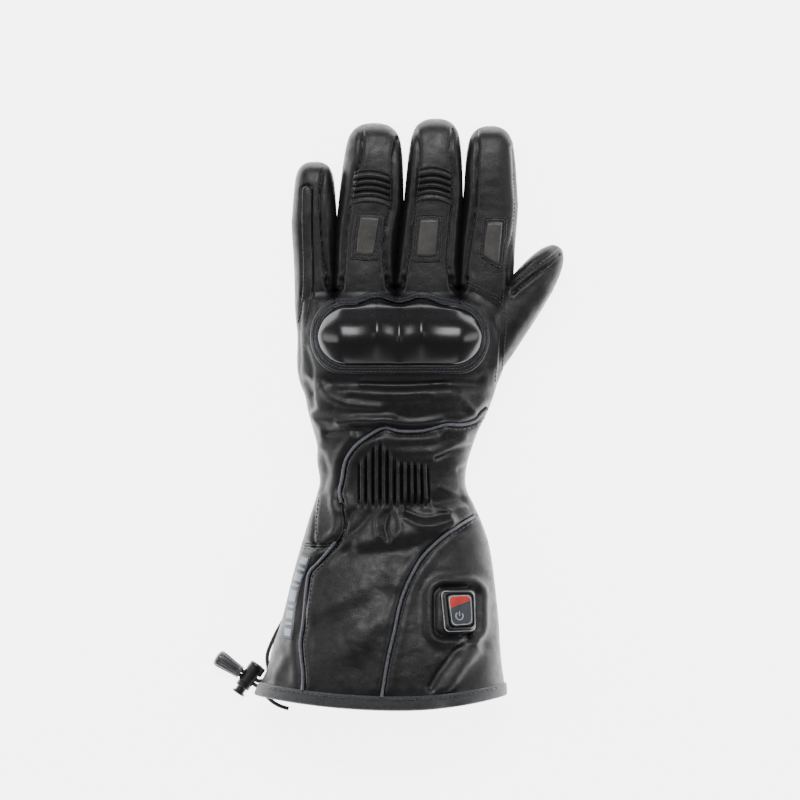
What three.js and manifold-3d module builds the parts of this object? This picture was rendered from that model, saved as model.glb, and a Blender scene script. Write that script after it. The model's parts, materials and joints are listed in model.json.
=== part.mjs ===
// Heated gauntlet glove, left hand, lying palm down.
// Millimetres. +X is the thumb side, +Y points to the fingertips, +Z to the back of the hand.
// The origin is the middle of the palm's flat underside, on the surface that the glove lies on.

import * as THREE from 'three';
import { mergeVertices } from 'three/addons/utils/BufferGeometryUtils.js';
import Module from 'manifold-3d';

const wasm = await Module();
wasm.setup();

// Clearances
const GAP = 0.3; // between two sewn or seated pieces
const CLEARANCE = 0.4; // round a piece that moves

// Hand and cuff
const FRONT_Y = 66; // the crotches of the fingers, ahead of the origin
const HAND_LENGTH = 111.5; // crotches to the narrowest line of the wrist
const CUFF_LENGTH = 124; // narrowest line of the wrist to the hem's corners
const HEM_DIP = 8; // the hem's middle hangs this far past its corners
const WALL = 3; // padded leather
const HAND_REACH = { little: 61, thumb: 65.5 }; // from the middle line to each side
const WRIST_REACH = { little: 46.4, thumb: 37.7 };
const HEM_REACH = { little: 83, thumb: 60.6 };
const HAND_HEIGHT = 42;
const WRIST_HEIGHT = 37;
const HEM_HEIGHT = 55;
const SEAM_HEIGHT = 15; // the side seams, above the floor

// Fingers and thumb
const FINGER_HEIGHT = 28;
const FINGER_SPACING = 0.7;
const THUMB_LENGTH = 96; // its tip to its root inside the hand
const THUMB_WIDTH = 27;
const THUMB_HEIGHT = 31;
const THUMB_TIP = { x: 91.8, y: 88.5 };
const THUMB_LEAN = 35; // degrees from the middle finger's line
const THUMB_WEB = 11; // the web between index finger and thumb, behind the crotches

// Trim
const GUARD_LENGTH = 95;
const GUARD_WIDTH = 35;
const GUARD_RISE = 8;
const GUARD_EDGE = 1.8; // the guard's edge stands this far off the leather
const RIM_WIDTH = 4;
const RIM_RISE = 1.6;
const PATCH_RISE = 1.5;
const FRAME_RISE = 0.8;
const RIB_RISE = 1.7;
const PLEAT_RISE = 2;
const PIPING_RADIUS = 0.9;
const BINDING_WIDTH = 6;
const BINDING_RISE = 1.5;
const LABEL_WIDTH = 7;
const LABEL_RISE = 1;

// Heating button
const BUTTON_WIDTH = 17;
const BUTTON_LENGTH = 20;
const BUTTON_RIM = 2.6;
const BUTTON_TRAVEL = 0.8;
const BUTTON_THICKNESS = 2.4;
const BUTTON_PROUD = 0.5; // over the bezel's rim
const BEZEL_FLOOR = 1;

// Drawcord, its lock and its end
const CORD_DIAMETER = 2.4;
const CORD_PITCH = 2.7; // the two strands, side by side in the lock
const LOCK_DIAMETER = 8.4;
const LOCK_LENGTH = 16.4;
const LOCK_WALL = 0.9;
const PLUNGER_TRAVEL = 2.6;
const PLUNGER_CAP = 1.6;
const END_LENGTH = 17;
const END_DIAMETER = 10;
const END_NECK = 7.4;
const END_FOOT = 0.35; // height of the flat cut on which the end piece lies
const LOCK_FOOT = 0.25; // the same for the lock
const LOCK_EAR = 1.6; // the lock's ear stands off its barrel
const END_STAND = 1.2; // from the lock's barrel to the end piece
const END_SOCKET = 0.45; // depth of the cords' socket, as a share of the end piece

// Side counts of round pieces
const TRUNK_SIDES = 24;
const BORE_SIDES = 16;
const STALL_SIDES = 16;
const STALL_BORE_SIDES = 12;
const TURNED_SIDES = 14;

const colours = {
  leather: '#24262b', trim: '#3a3d43', guard: '#0d0e11', piping: '#6f7378', label: '#8fa3b5',
  plastic: '#17181b', button: '#b3221d', cord: '#101114',
};

const WRIST_Y = FRONT_Y - HAND_LENGTH;
const HEM_Y = WRIST_Y - CUFF_LENGTH;
const BINDING_ROOM = BINDING_RISE + GAP;
const HIGH = 4 * HAND_HEIGHT; // above everything
const FAR = 3 * HAND_LENGTH; // beyond everything

// Width rows of the hand and cuff. along: 0 at the crotches, 1 at the wrist, 2 at the hem.
// little and thumb: how far each side has spread from the wrist's reach to the hand's or the hem's.
const WIDTH_ROWS = [
  { along: 0.0, little: 1.0, thumb: 1.0 },
  { along: 0.14, little: 0.97, thumb: 0.96 },
  { along: 0.26, little: 0.88, thumb: 0.91 },
  { along: 0.38, little: 0.9, thumb: 0.84 },
  { along: 0.45, little: 0.87, thumb: 0.76 },
  { along: 0.51, little: 0.76, thumb: 0.66 },
  { along: 0.57, little: 0.58, thumb: 0.59 },
  { along: 0.64, little: 0.48, thumb: 0.48 },
  { along: 0.7, little: 0.36, thumb: 0.37 },
  { along: 0.755, little: 0.24, thumb: 0.26 },
  { along: 0.83, little: 0.1, thumb: 0.15 },
  { along: 0.91, little: 0.1, thumb: 0.05 },
  { along: 1.0, little: 0.0, thumb: 0.0 },
  { along: 1.06, little: 0.03, thumb: 0.05 },
  { along: 1.12, little: 0.09, thumb: 0.21 },
  { along: 1.19, little: 0.17, thumb: 0.38 },
  { along: 1.28, little: 0.26, thumb: 0.56 },
  { along: 1.38, little: 0.36, thumb: 0.67 },
  { along: 1.48, little: 0.45, thumb: 0.74 },
  { along: 1.58, little: 0.53, thumb: 0.8 },
  { along: 1.68, little: 0.62, thumb: 0.85 },
  { along: 1.78, little: 0.74, thumb: 0.88 },
  { along: 1.88, little: 0.82, thumb: 0.93 },
  { along: 1.94, little: 0.91, thumb: 0.98 },
  { along: 2.0, little: 1.0, thumb: 1.0 },
];

// Folds of the leather, from one end to the other, in plan shares: across is -1 at the little
// finger's side and 1 at the thumb's. width and rise are shares of the hand's height, and a
// groove's rise is negative.
const FOLDS = [
  { from: [-0.55, 0.1], to: [0.5, 0.1], width: 0.1, rise: 0.04 },
  { from: [-0.7, 0.505], to: [0.8, 0.505], width: 0.1, rise: -0.05 },
  { from: [-0.85, 0.6], to: [0.6, 0.575], width: 0.14, rise: 0.04 },
  { from: [-0.9, 0.69], to: [-0.1, 0.71], width: 0.1, rise: 0.05 },
  { from: [-0.5, 0.76], to: [0.5, 0.75], width: 0.08, rise: -0.06 },
  { from: [-0.95, 0.5], to: [-0.95, 0.62], width: 0.08, rise: -0.06 },
  { from: [0.1, 1.13], to: [0.9, 1.1], width: 0.1, rise: -0.06 },
  { from: [-0.4, 1.3], to: [0.6, 1.19], width: 0.14, rise: 0.06 },
  { from: [-0.7, 1.33], to: [0.2, 1.33], width: 0.12, rise: -0.04 },
  { from: [0.45, 2.0], to: [0.85, 1.78], width: 0.14, rise: -0.05 },
  { from: [-0.75, 1.6], to: [-0.35, 1.5], width: 0.16, rise: 0.04 },
  { from: [-0.35, 1.75], to: [-0.15, 1.62], width: 0.14, rise: 0.04 },
];

// Fingers, from the little finger's side. root and middle are the lines between neighbours, at
// the crotches and at mid length, and tip the middle of the tip, as shares of the hand's reach.
// length is a share of HAND_LENGTH, height a share of FINGER_HEIGHT.
const FINGERS = [
  { name: 'little', root: [-1.0, -0.62], middle: [-1.03, -0.595], tip: -0.81, length: 0.645, height: 0.86 },
  { name: 'ring', root: [-0.62, -0.045], middle: [-0.595, 0.028], tip: -0.245, length: 0.845, height: 0.98 },
  { name: 'middle', root: [-0.045, 0.52], middle: [0.028, 0.555], tip: 0.315, length: 0.868, height: 1.0 },
  { name: 'index', root: [0.52, 1.0], middle: [0.555, 1.045], tip: 0.8, length: 0.83, height: 0.96 },
];

// Sections of a finger. along: 0 at the root, 1 at the tip. half and top are shares of the
// finger's own half width and height, belt the height of its widest line.
const FINGER_ROWS = [
  { along: 0.0, half: 1.0, top: 1.07, belt: 0.45 },
  { along: 0.2, half: 1.0, top: 1.03, belt: 0.45 },
  { along: 0.45, half: 1.0, top: 1.0, belt: 0.45 },
  { along: 0.62, half: 0.955, top: 0.99, belt: 0.45 },
  { along: 0.78, half: 0.89, top: 0.95, belt: 0.45 },
  { along: 0.89, half: 0.8, top: 0.88, belt: 0.44 },
  { along: 0.95, half: 0.66, top: 0.78, belt: 0.42 },
  { along: 0.985, half: 0.45, top: 0.62, belt: 0.4 },
  { along: 1.0, half: 0.2, top: 0.46, belt: 0.36 },
];

// Sections of the thumb. along: 0 at the tip, 1 at the root inside the hand.
const THUMB_ROWS = [
  { along: 0.0, half: 0.16, top: 0.4, belt: 0.3 },
  { along: 0.02, half: 0.34, top: 0.52, belt: 0.33 },
  { along: 0.07, half: 0.58, top: 0.68, belt: 0.38 },
  { along: 0.15, half: 0.76, top: 0.82, belt: 0.42 },
  { along: 0.27, half: 0.9, top: 0.93, belt: 0.45 },
  { along: 0.45, half: 0.98, top: 1.0, belt: 0.45 },
  { along: 0.7, half: 1.03, top: 1.02, belt: 0.45 },
  { along: 1.0, half: 1.0, top: 0.98, belt: 0.45 },
];

// Seams on the back, in plan shares [across, along].
const UPPER_SEAM = [
  [1.1, 0.6], [0.97, 0.645], [0.9, 0.7], [0.76, 0.72], [0.57, 0.72], [0.4, 0.74], [0.25, 0.753],
  [0.0, 0.753],
  [-0.18, 0.735], [-0.36, 0.775], [-0.54, 0.83], [-0.65, 0.9], [-0.71, 0.98], [-0.74, 1.05],
  [-0.69, 1.11],
];
const SIDE_LINK = [[-0.69, 1.11], [-0.61, 1.22], [-0.66, 1.29], [-0.81, 1.31], [-1.15, 1.3]];
const SIDE_SEAM = [
  [-0.66, 1.29], [-0.78, 1.38], [-0.85, 1.43], [-0.85, 1.5], [-0.82, 1.65], [-0.8, 1.74], [-0.76, 1.82],
  [-0.68, 2.0], [-0.66, 2.1],
];
const LOWER_SEAM = [
  [1.15, 1.13], [1.0, 1.165], [0.75, 1.21], [0.52, 1.26], [0.33, 1.32], [0.2, 1.38], [0.08, 1.47],
  [0.0, 1.56],
  [-0.05, 1.68], [-0.1, 1.81], [-0.13, 1.94], [-0.14, 2.1],
];

// Patches on the finger backs, in shares of the finger's half width and length.
const PATCHES = [
  {
    name: 'ring', pad: [[-0.34, 0.19], [0.24, 0.18], [0.32, 0.42], [-0.28, 0.43]],
    frame: [[-0.56, 0.15], [0.46, 0.14], [0.54, 0.44], [-0.5, 0.45]],
  },
  {
    name: 'middle', pad: [[-0.38, 0.17], [0.24, 0.17], [0.24, 0.4], [-0.38, 0.4]],
    frame: [[-0.6, 0.13], [0.44, 0.13], [0.44, 0.425], [-0.6, 0.425]],
  },
  {
    name: 'index', pad: [[-0.17, 0.18], [0.45, 0.12], [0.48, 0.4], [-0.09, 0.4]],
    frame: [[-0.3, 0.17], [0.55, 0.08], [0.7, 0.43], [-0.16, 0.43]],
  },
];
const RIBS = { from: 0.475, to: 0.69, count: 5, half: 0.66 };
const PLEATS = { from: [-0.56, 0.84], to: [0.38, 1.13], count: 10, middleFrom: 0.78 };

const GUARD_PLACE = { across: 0.0, along: 0.262 };
const BUTTON_PLACE = { across: 0.58, along: 1.6 };
const LABEL_LINE = [[-0.915, 1.35], [-0.945, 1.55], [-0.905, 1.74]];

// The drawcord's route, each point [x, y, z], from the cuff to the lock and on into the end piece.
const LOCK_PLACE = { x: -87, y: -159.6 };
const LOCK_TURN = -123.7; // degrees from +X to the plunger's end
const SLOT_PLACE = 1.6; // along the lock, from its middle
const UPPER_CORD = [
  [-65.5, -124.0, 5.0], [-68.6, -129.5, 3.6], [-71.2, -134.0, 2.0], [-73.4, -138.5, 1.3],
  [-75.4, -143.0, 1.25],
  [-76.8, -147.2, 1.25], [-77.0, -151.2, 1.4], [-76.4, -155.2, 2.0], [-76.5, -159.0, 2.7],
  [-78.3, -162.0, 3.4],
  [-80.9, -162.9, 3.8],
];
const LOWER_CORD = [
  [-64.5, -179.0, 1.25], [-69.0, -177.6, 1.25], [-73.2, -175.4, 1.25], [-76.6, -172.4, 1.5],
  [-79.2, -169.4, 2.6],
  [-81.6, -166.8, 3.5],
];

// Tools for solids

/** A closed solid from a geometry whose shared corners are merged. */
function toSolid(geometry) {
  const bare = geometry.clone();
  bare.deleteAttribute('normal');
  bare.deleteAttribute('uv');
  const merged = mergeVertices(bare, 1e-4);
  const triangles = [];
  for (let i = 0; i < merged.index.count; i += 3) {
    const [a, b, c] = [0, 1, 2].map((k) => merged.index.getX(i + k));
    if (a !== b && b !== c && c !== a) triangles.push(a, b, c);
  }
  const mesh = new wasm.Mesh({
    numProp: 3,
    vertProperties: new Float32Array(merged.attributes.position.array),
    triVerts: new Uint32Array(triangles),
  });
  return new wasm.Manifold(mesh);
}

function toGeometry(solid) {
  const mesh = solid.getMesh();
  const geometry = new THREE.BufferGeometry();
  geometry.setAttribute('position', new THREE.BufferAttribute(mesh.vertProperties, 3));
  geometry.setIndex(new THREE.BufferAttribute(mesh.triVerts, 1));
  return geometry;
}

function volumeOf(points, index) {
  let volume = 0;
  for (let i = 0; i < index.length; i += 3) {
    const [a, b, c] = [points[index[i]], points[index[i + 1]], points[index[i + 2]]];
    volume += a.dot(new THREE.Vector3().crossVectors(b, c));
  }
  return volume;
}

/** Skins closed rings of equally many points and closes both ends. */
function loft(rings) {
  const count = rings[0].length;
  const points = rings.flat();
  const index = [];
  for (let ring = 0; ring < rings.length - 1; ring++) {
    for (let k = 0; k < count; k++) {
      const a = ring * count + k;
      const b = ring * count + ((k + 1) % count);
      index.push(a, b, b + count, a, b + count, a + count);
    }
  }
  const closeEnd = (start, flip) => {
    const middle = new THREE.Vector3();
    for (let k = 0; k < count; k++) middle.addScaledVector(points[start + k], 1 / count);
    points.push(middle);
    for (let k = 0; k < count; k++) {
      const pair = [start + k, start + ((k + 1) % count)];
      if (flip) pair.reverse();
      index.push(points.length - 1, ...pair);
    }
  };
  closeEnd(0, true);
  closeEnd((rings.length - 1) * count, false);
  return solidOf(points, index);
}

function solidOf(points, index) {
  if (volumeOf(points, index) < 0) index.reverse();
  const geometry = new THREE.BufferGeometry().setFromPoints(points);
  geometry.setIndex(index);
  return toSolid(geometry);
}

/** A closed slab between two grids of the same size, grid[row][column]. */
function slab(upper, lower) {
  const rows = upper.length;
  const columns = upper[0].length;
  const points = [...upper.flat(), ...lower.flat()];
  const below = rows * columns;
  const index = [];
  const quad = (a, b, c, d) => index.push(a, b, c, a, c, d);
  for (let i = 0; i < rows - 1; i++) {
    for (let j = 0; j < columns - 1; j++) {
      const a = i * columns + j;
      quad(a, a + 1, a + columns + 1, a + columns);
      quad(below + a, below + a + columns, below + a + columns + 1, below + a + 1);
    }
  }
  const border = [];
  for (let j = 0; j < columns - 1; j++) border.push(j);
  for (let i = 0; i < rows - 1; i++) border.push(i * columns + columns - 1);
  for (let j = columns - 1; j > 0; j--) border.push((rows - 1) * columns + j);
  for (let i = rows - 1; i > 0; i--) border.push(i * columns);
  border.forEach((a, k) => {
    const b = border[(k + 1) % border.length];
    quad(a, below + a, below + b, b);
  });
  return solidOf(points, index);
}

/** An upright prism over an outline of [x, y] points. */
function prism(outline, low, high) {
  const shape = new THREE.Shape(outline.map(([x, y]) => new THREE.Vector2(x, y)));
  const geometry = new THREE.ExtrudeGeometry(shape, { depth: high - low, bevelEnabled: false });
  geometry.translate(0, 0, low);
  return toSolid(geometry);
}

/** A round bar along a smooth curve through the points. */
function bar(points, radius, sides, steps) {
  const section = new THREE.Shape();
  for (let k = 0; k < sides; k++) {
    const turn = (2 * Math.PI * (k + 0.5)) / sides;
    const corner = [radius * Math.cos(turn), radius * Math.sin(turn)];
    if (k === 0) section.moveTo(...corner);
    else section.lineTo(...corner);
  }
  section.closePath();
  const extrudePath = new THREE.CatmullRomCurve3(points, false, 'centripetal');
  return toSolid(new THREE.ExtrudeGeometry(section, { steps, extrudePath, bevelEnabled: false }));
}

function mix(a, b, share) {
  return a + (b - a) * share;
}

function power(value, exponent) {
  return Math.sign(value) * Math.abs(value) ** exponent;
}

/** The value of a column between the rows of a table that is sorted by along. */
function lookUp(rows, along, column) {
  const last = rows.length - 1;
  if (along <= rows[0].along) return rows[0][column];
  if (along >= rows[last].along) return rows[last][column];
  const next = rows.findIndex((row) => row.along > along);
  const [a, b] = [rows[next - 1], rows[next]];
  return mix(a[column], b[column], (along - a.along) / (b.along - a.along));
}

// The hand and cuff

const TRUNK_SQUARE = { hand: 2.7, cuff: 2.4, under: 3.2 }; // how square the sections are
const UNDER_SINK = 2; // the underside's curve is cut off this far below the floor
const FRONT_HEIGHT = 1.1 * FINGER_HEIGHT; // at the crotches
const HIGHEST = 0.3; // along the hand, where the knuckles are
const FULL_HEIGHT = 1.95; // along the cuff, where the hem's height is reached

function smoothStep(share) {
  const s = Math.min(1, Math.max(0, share));
  return s * s * (3 - 2 * s);
}

/** Reach to each side, height of the back, lift of the underside and squareness at a section. */
function trunkSection(along) {
  const far = along <= 1 ? HAND_REACH : HEM_REACH;
  let top = mix(WRIST_HEIGHT, HEM_HEIGHT, smoothStep((along - 1) / (FULL_HEIGHT - 1)));
  if (along < HIGHEST) {
    const climb = along / HIGHEST;
    top = mix(FRONT_HEIGHT, HAND_HEIGHT, mix(smoothStep(climb), climb, 0.4));
  } else if (along < 1) {
    top = mix(HAND_HEIGHT, WRIST_HEIGHT, smoothStep((along - 0.5) / 0.5));
  }
  return {
    little: mix(WRIST_REACH.little, far.little, lookUp(WIDTH_ROWS, along, 'little')),
    thumb: mix(WRIST_REACH.thumb, far.thumb, lookUp(WIDTH_ROWS, along, 'thumb')),
    top,
    lift: BINDING_ROOM * smoothStep((along - 1.86) / 0.08),
    square: mix(TRUNK_SQUARE.hand, TRUNK_SQUARE.cuff, smoothStep(along - 0.5)),
  };
}

function trunkY(across, along) {
  if (along <= 1) return FRONT_Y - along * HAND_LENGTH;
  const share = along - 1;
  const dip = HEM_DIP * Math.max(0, 1 - across * across) * share * share;
  return WRIST_Y - share * CUFF_LENGTH - dip;
}

/** How far the folds raise the leather at a place in plan shares. */
function foldRise(across, along) {
  const scale = [HAND_REACH.thumb, HAND_LENGTH];
  let rise = 0;
  for (const fold of FOLDS) {
    const start = new THREE.Vector2(fold.from[0] * scale[0], fold.from[1] * scale[1]);
    const run = new THREE.Vector2(fold.to[0] * scale[0], fold.to[1] * scale[1]).sub(start);
    const place = new THREE.Vector2(across * scale[0], along * scale[1]).sub(start);
    const share = Math.min(1, Math.max(0, place.dot(run) / run.lengthSq()));
    const distance = place.addScaledVector(run, -share).length() / (fold.width * HAND_HEIGHT);
    rise += fold.rise * HAND_HEIGHT * Math.exp(-distance * distance);
  }
  return rise;
}

/** A point of the back at a place in plan shares, standing off the leather. */
function trunkPoint(across, along, off = 0) {
  const s = trunkSection(along);
  const reach = across < 0 ? s.little : s.thumb;
  const share = Math.min(1, (Math.abs(across) * reach) / (reach + off));
  const crown = s.top + off + foldRise(across, along) - SEAM_HEIGHT;
  const z = SEAM_HEIGHT + crown * (1 - share ** s.square) ** (1 / s.square);
  return new THREE.Vector3(across * reach, trunkY(across, along), z);
}

/** One ring of the hand and cuff, grown by off, with its underside at or above the floor. */
function trunkRing(along, off, count, shift = 0) {
  const s = trunkSection(along);
  const ring = [];
  for (let k = 0; k < count; k++) {
    const turn = (2 * Math.PI * k) / count;
    const [c, n] = [Math.cos(turn), Math.sin(turn)];
    const exponent = 2 / (n >= 0 ? s.square : TRUNK_SQUARE.under);
    const across = power(c, exponent);
    const reach = (across < 0 ? s.little : s.thumb) + off;
    let z = SEAM_HEIGHT;
    if (n >= 0) z += (s.top + off + foldRise(across, along) - SEAM_HEIGHT) * power(n, exponent);
    else z = Math.max(s.lift - off, SEAM_HEIGHT + (SEAM_HEIGHT + UNDER_SINK) * power(n, exponent));
    ring.push(new THREE.Vector3(across * reach, trunkY(across, along) + shift, z));
  }
  return ring;
}

function trunkSolid(off, ends = 0) {
  const rings = WIDTH_ROWS.map((row) => trunkRing(row.along, off, TRUNK_SIDES));
  if (ends > 0) {
    rings.unshift(trunkRing(0, off, TRUNK_SIDES, ends));
    rings.push(trunkRing(2, off, TRUNK_SIDES, -ends));
  }
  return loft(rings);
}

/** The hollow of the hand and cuff, open at the hem, with every second width row. */
function trunkBore() {
  const rows = WIDTH_ROWS.filter((row, k) => k > 1 && k % 2 === 0);
  const rings = [WALL / HAND_LENGTH, ...rows.map((row) => row.along)]
    .map((along) => trunkRing(along, -WALL, BORE_SIDES));
  rings.push(trunkRing(2, -WALL, BORE_SIDES, -3 * WALL));
  return loft(rings);
}

// Fingers and thumb

function fingerSection(finger, along) {
  const reach = (share) => share * (share < 0 ? HAND_REACH.little : HAND_REACH.thumb);
  const edge = (side) => {
    const [root, middle] = [reach(finger.root[side]), reach(finger.middle[side])];
    return mix(root, middle, Math.min(1, along / 0.5) ** 1.4);
  };
  const half = (edge(1) - edge(0) - FINGER_SPACING) / 2;
  const centre = mix((edge(0) + edge(1)) / 2, reach(finger.tip), smoothStep((along - 0.3) / 0.7));
  const height = FINGER_HEIGHT * finger.height;
  return {
    centre,
    half: half * lookUp(FINGER_ROWS, along, 'half'),
    top: height * lookUp(FINGER_ROWS, along, 'top'),
    belt: height * lookUp(FINGER_ROWS, along, 'belt'),
    y: FRONT_Y + GAP + along * (finger.length * HAND_LENGTH - GAP),
  };
}

const STALL_SQUARE = 2.8;

/** One ring of a finger or thumb stall: half width, height of the back and of the widest line. */
function stallRing(half, top, belt, off, sides, place) {
  const ring = [];
  for (let k = 0; k < sides; k++) {
    const turn = (2 * Math.PI * (k + 0.5)) / sides;
    const [c, n] = [Math.cos(turn), Math.sin(turn)];
    const across = power(c, 2 / STALL_SQUARE) * (half + off);
    const rise = n >= 0 ? top + off - belt : belt + UNDER_SINK;
    const z = Math.max(-off, belt + rise * power(n, 2 / STALL_SQUARE));
    ring.push(place(across, z));
  }
  return ring;
}

function fingerRing(finger, along, off, sides, shift = 0) {
  const s = fingerSection(finger, along);
  const place = (across, z) => new THREE.Vector3(s.centre + across, s.y + shift, z);
  return stallRing(s.half, s.top, s.belt, off, sides, place);
}

function fingerSolid(finger, off) {
  const rings = FINGER_ROWS.map((row) => fingerRing(finger, row.along, off, STALL_SIDES));
  if (off > 0) rings.push(fingerRing(finger, 1, off / 2, STALL_SIDES, off));
  return loft(rings);
}

/** The hollow of a finger, which starts a little behind the crotches and ends behind the tip. */
function fingerBore(finger) {
  const tipShare = WALL / (finger.length * HAND_LENGTH);
  const rings = [fingerRing(finger, 0, -WALL, STALL_BORE_SIDES, -1.4 * WALL)];
  for (const row of FINGER_ROWS.filter((r) => r.along < 0.93 && r.along !== 0.2)) {
    rings.push(fingerRing(finger, row.along, -WALL, STALL_BORE_SIDES));
  }
  rings.push(fingerRing(finger, 0.985 - tipShare, -WALL, STALL_BORE_SIDES));
  return loft(rings);
}

function thumbRing(row, off, sides, shift = 0) {
  const lean = THREE.MathUtils.degToRad(THUMB_LEAN);
  const back = new THREE.Vector2(-Math.sin(lean), -Math.cos(lean));
  const side = new THREE.Vector2(Math.cos(lean), -Math.sin(lean));
  const travel = row.along * THUMB_LENGTH + shift;
  const x = THUMB_TIP.x + back.x * travel;
  const y = THUMB_TIP.y + back.y * travel;
  const place = (across, z) => new THREE.Vector3(x + side.x * across, y + side.y * across, z);
  const half = (row.half * THUMB_WIDTH) / 2;
  return stallRing(half, row.top * THUMB_HEIGHT, row.belt * THUMB_HEIGHT, off, sides, place);
}

function thumbSolid(off) {
  return loft(THUMB_ROWS.map((row) => thumbRing(row, off, STALL_SIDES)));
}

function thumbBore() {
  const rows = THUMB_ROWS.filter((row) => row.along > 0.05);
  const { along, half, top, belt } = rows[0];
  const first = { along: along * 0.8, half: half * 0.9, top: top * 0.9, belt };
  return loft([first, ...rows].map((row) => thumbRing(row, -WALL, STALL_BORE_SIDES)));
}

// Cutting the leather into its panels

/** Plan shares to [x, y]. */
function planPoint([across, along]) {
  const p = trunkPoint(Math.max(-1, Math.min(1, across)), along);
  const s = trunkSection(along);
  const beyond = Math.max(0, Math.abs(across) - 1) * (across < 0 ? -s.little : s.thumb);
  return [p.x + beyond, p.y];
}

/** The seam line moved sideways, to the left of its direction. */
function beside(line, distance) {
  return line.map(([x, y], k) => {
    const [ax, ay] = line[Math.max(0, k - 1)];
    const [bx, by] = line[Math.min(line.length - 1, k + 1)];
    const length = Math.hypot(bx - ax, by - ay);
    return [x - ((by - ay) / length) * distance, y + ((bx - ax) / length) * distance];
  });
}

function box(low, high) {
  const geometry = new THREE.BoxGeometry(high[0] - low[0], high[1] - low[1], high[2] - low[2]);
  geometry.translate((high[0] + low[0]) / 2, (high[1] + low[1]) / 2, (high[2] + low[2]) / 2);
  return toSolid(geometry);
}

const UPPER_LINE = [...UPPER_SEAM, ...SIDE_LINK.slice(1)].map(planPoint);
const SIDE_LINE = SIDE_SEAM.map(planPoint);
const LOWER_LINE = LOWER_SEAM.map(planPoint);

/** Everything on the fingers' side of the upper seam, moved by shift. */
function handRegion(shift) {
  const line = beside(UPPER_LINE, shift);
  const round = [[-FAR, line.at(-1)[1]], [-FAR, FAR], [FAR, FAR], [FAR, line[0][1]]];
  return prism([...line, ...round], -HIGH, HIGH);
}

/** Everything on the thumb side of the lower seam, moved by shift. */
function flapRegion(shift) {
  const line = beside(LOWER_LINE, shift);
  return prism([[FAR, line[0][1]], ...line, [line.at(-1)[0], -FAR], [FAR, -FAR]], -HIGH, HIGH);
}

/** Everything on the little finger's side of the side seam, moved to the thumb side by shift. */
function sideRegion(shift) {
  const line = beside(SIDE_LINE, shift);
  const round = [[line.at(-1)[0], -FAR], [-FAR, -FAR], [-FAR, FAR], [line[0][0], FAR]];
  return prism([...line, ...round], -HIGH, HIGH);
}

let shell = trunkSolid(0).subtract(trunkBore());
for (const finger of FINGERS) shell = shell.subtract(fingerBore(finger));
const belowWeb = box([-FAR, -FAR, -HIGH], [FAR, FRONT_Y - THUMB_WEB, HIGH]);
shell = shell.subtract(thumbBore().intersect(belowWeb));

const aboveSeam = box([-FAR, -FAR, SEAM_HEIGHT + GAP / 2], [FAR, FAR, HIGH]);
const belowSeam = box([-FAR, -FAR, -HIGH], [FAR, FAR, SEAM_HEIGHT - GAP / 2]);
const back = shell.intersect(aboveSeam);
const palm = shell.intersect(belowSeam);
const palmSplitY = mix(WRIST_Y, HEM_Y, 0.12);
const grownTrunk = trunkSolid(GAP, GAP);

// Nodes

const glove = new THREE.Group();

const finish = {
  leather: { color: colours.leather, roughness: 0.55, metalness: 0 },
  trim: { color: colours.trim, roughness: 0.6, metalness: 0 },
  guard: { color: colours.guard, roughness: 0.15, metalness: 0 },
  piping: { color: colours.piping, roughness: 0.5, metalness: 0.1 },
  label: { color: colours.label, roughness: 0.5, metalness: 0 },
  plastic: { color: colours.plastic, roughness: 0.4, metalness: 0 },
  button: { color: colours.button, roughness: 0.35, metalness: 0 },
  cord: { color: colours.cord, roughness: 0.8, metalness: 0 },
};

function addNode(name, solid, kind, parent = glove) {
  const mesh = new THREE.Mesh(toGeometry(solid), new THREE.MeshStandardMaterial(finish[kind]));
  mesh.name = name;
  parent.add(mesh);
}

// Leather panels

function addHand() {
  addNode('hand_back', back.intersect(handRegion(-GAP / 2)), 'leather');
  const ahead = box([-FAR, palmSplitY + GAP / 2, -HIGH], [FAR, FAR, HIGH]);
  addNode('hand_palm', palm.intersect(ahead), 'leather');
}

/** The elastic gather: a row of soft upright pleats across the wrist, part of the cuff's back. */
function gatherPleats() {
  const { from, to, count, middleFrom } = PLEATS;
  const upper = [];
  const lower = [];
  const rows = 5;
  for (let i = 0; i < rows; i++) {
    const share = i / (rows - 1);
    const above = [];
    const below = [];
    for (let j = 0; j <= 2 * count; j++) {
      const turn = j / (2 * count);
      const across = mix(from[0], to[0], turn);
      const start = mix(from[1], middleFrom, Math.max(0, 1 - Math.abs(turn - 0.35) / 0.25));
      const along = mix(start, to[1], share);
      const ends = Math.sin(Math.PI * mix(0.06, 0.94, share)) ** 0.5;
      const rise = j % 2 === 1 ? PLEAT_RISE * ends : -PLEAT_RISE / 4;
      above.push(trunkPoint(across, along, rise));
      below.push(trunkPoint(across, along, -WALL / 2));
    }
    upper.push(above);
    lower.push(below);
  }
  return slab(upper, lower);
}

function addCuff() {
  const cuff = back.subtract(handRegion(GAP / 2));
  const middle = cuff.subtract(flapRegion(-GAP / 2)).subtract(sideRegion(GAP / 2));
  addNode('cuff_back', middle.add(gatherPleats()), 'leather');
  addNode('cuff_flap', cuff.intersect(flapRegion(GAP / 2)), 'leather');
  addNode('cuff_side', cuff.intersect(sideRegion(-GAP / 2)), 'leather');
  const behind = box([-FAR, -FAR, -HIGH], [FAR, palmSplitY - GAP / 2, HIGH]);
  addNode('cuff_palm', palm.intersect(behind), 'leather');
}

function findFinger(name) {
  return FINGERS.find((finger) => finger.name === name);
}

function addFingers() {
  for (const finger of FINGERS) {
    addNode(`${finger.name}_finger`, fingerSolid(finger, 0).subtract(fingerBore(finger)), 'leather');
  }
  const index = fingerSolid(findFinger('index'), GAP);
  addNode('thumb', thumbSolid(0).subtract(thumbBore()).subtract(grownTrunk).subtract(index), 'leather');
}

// Knuckle guard

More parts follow.
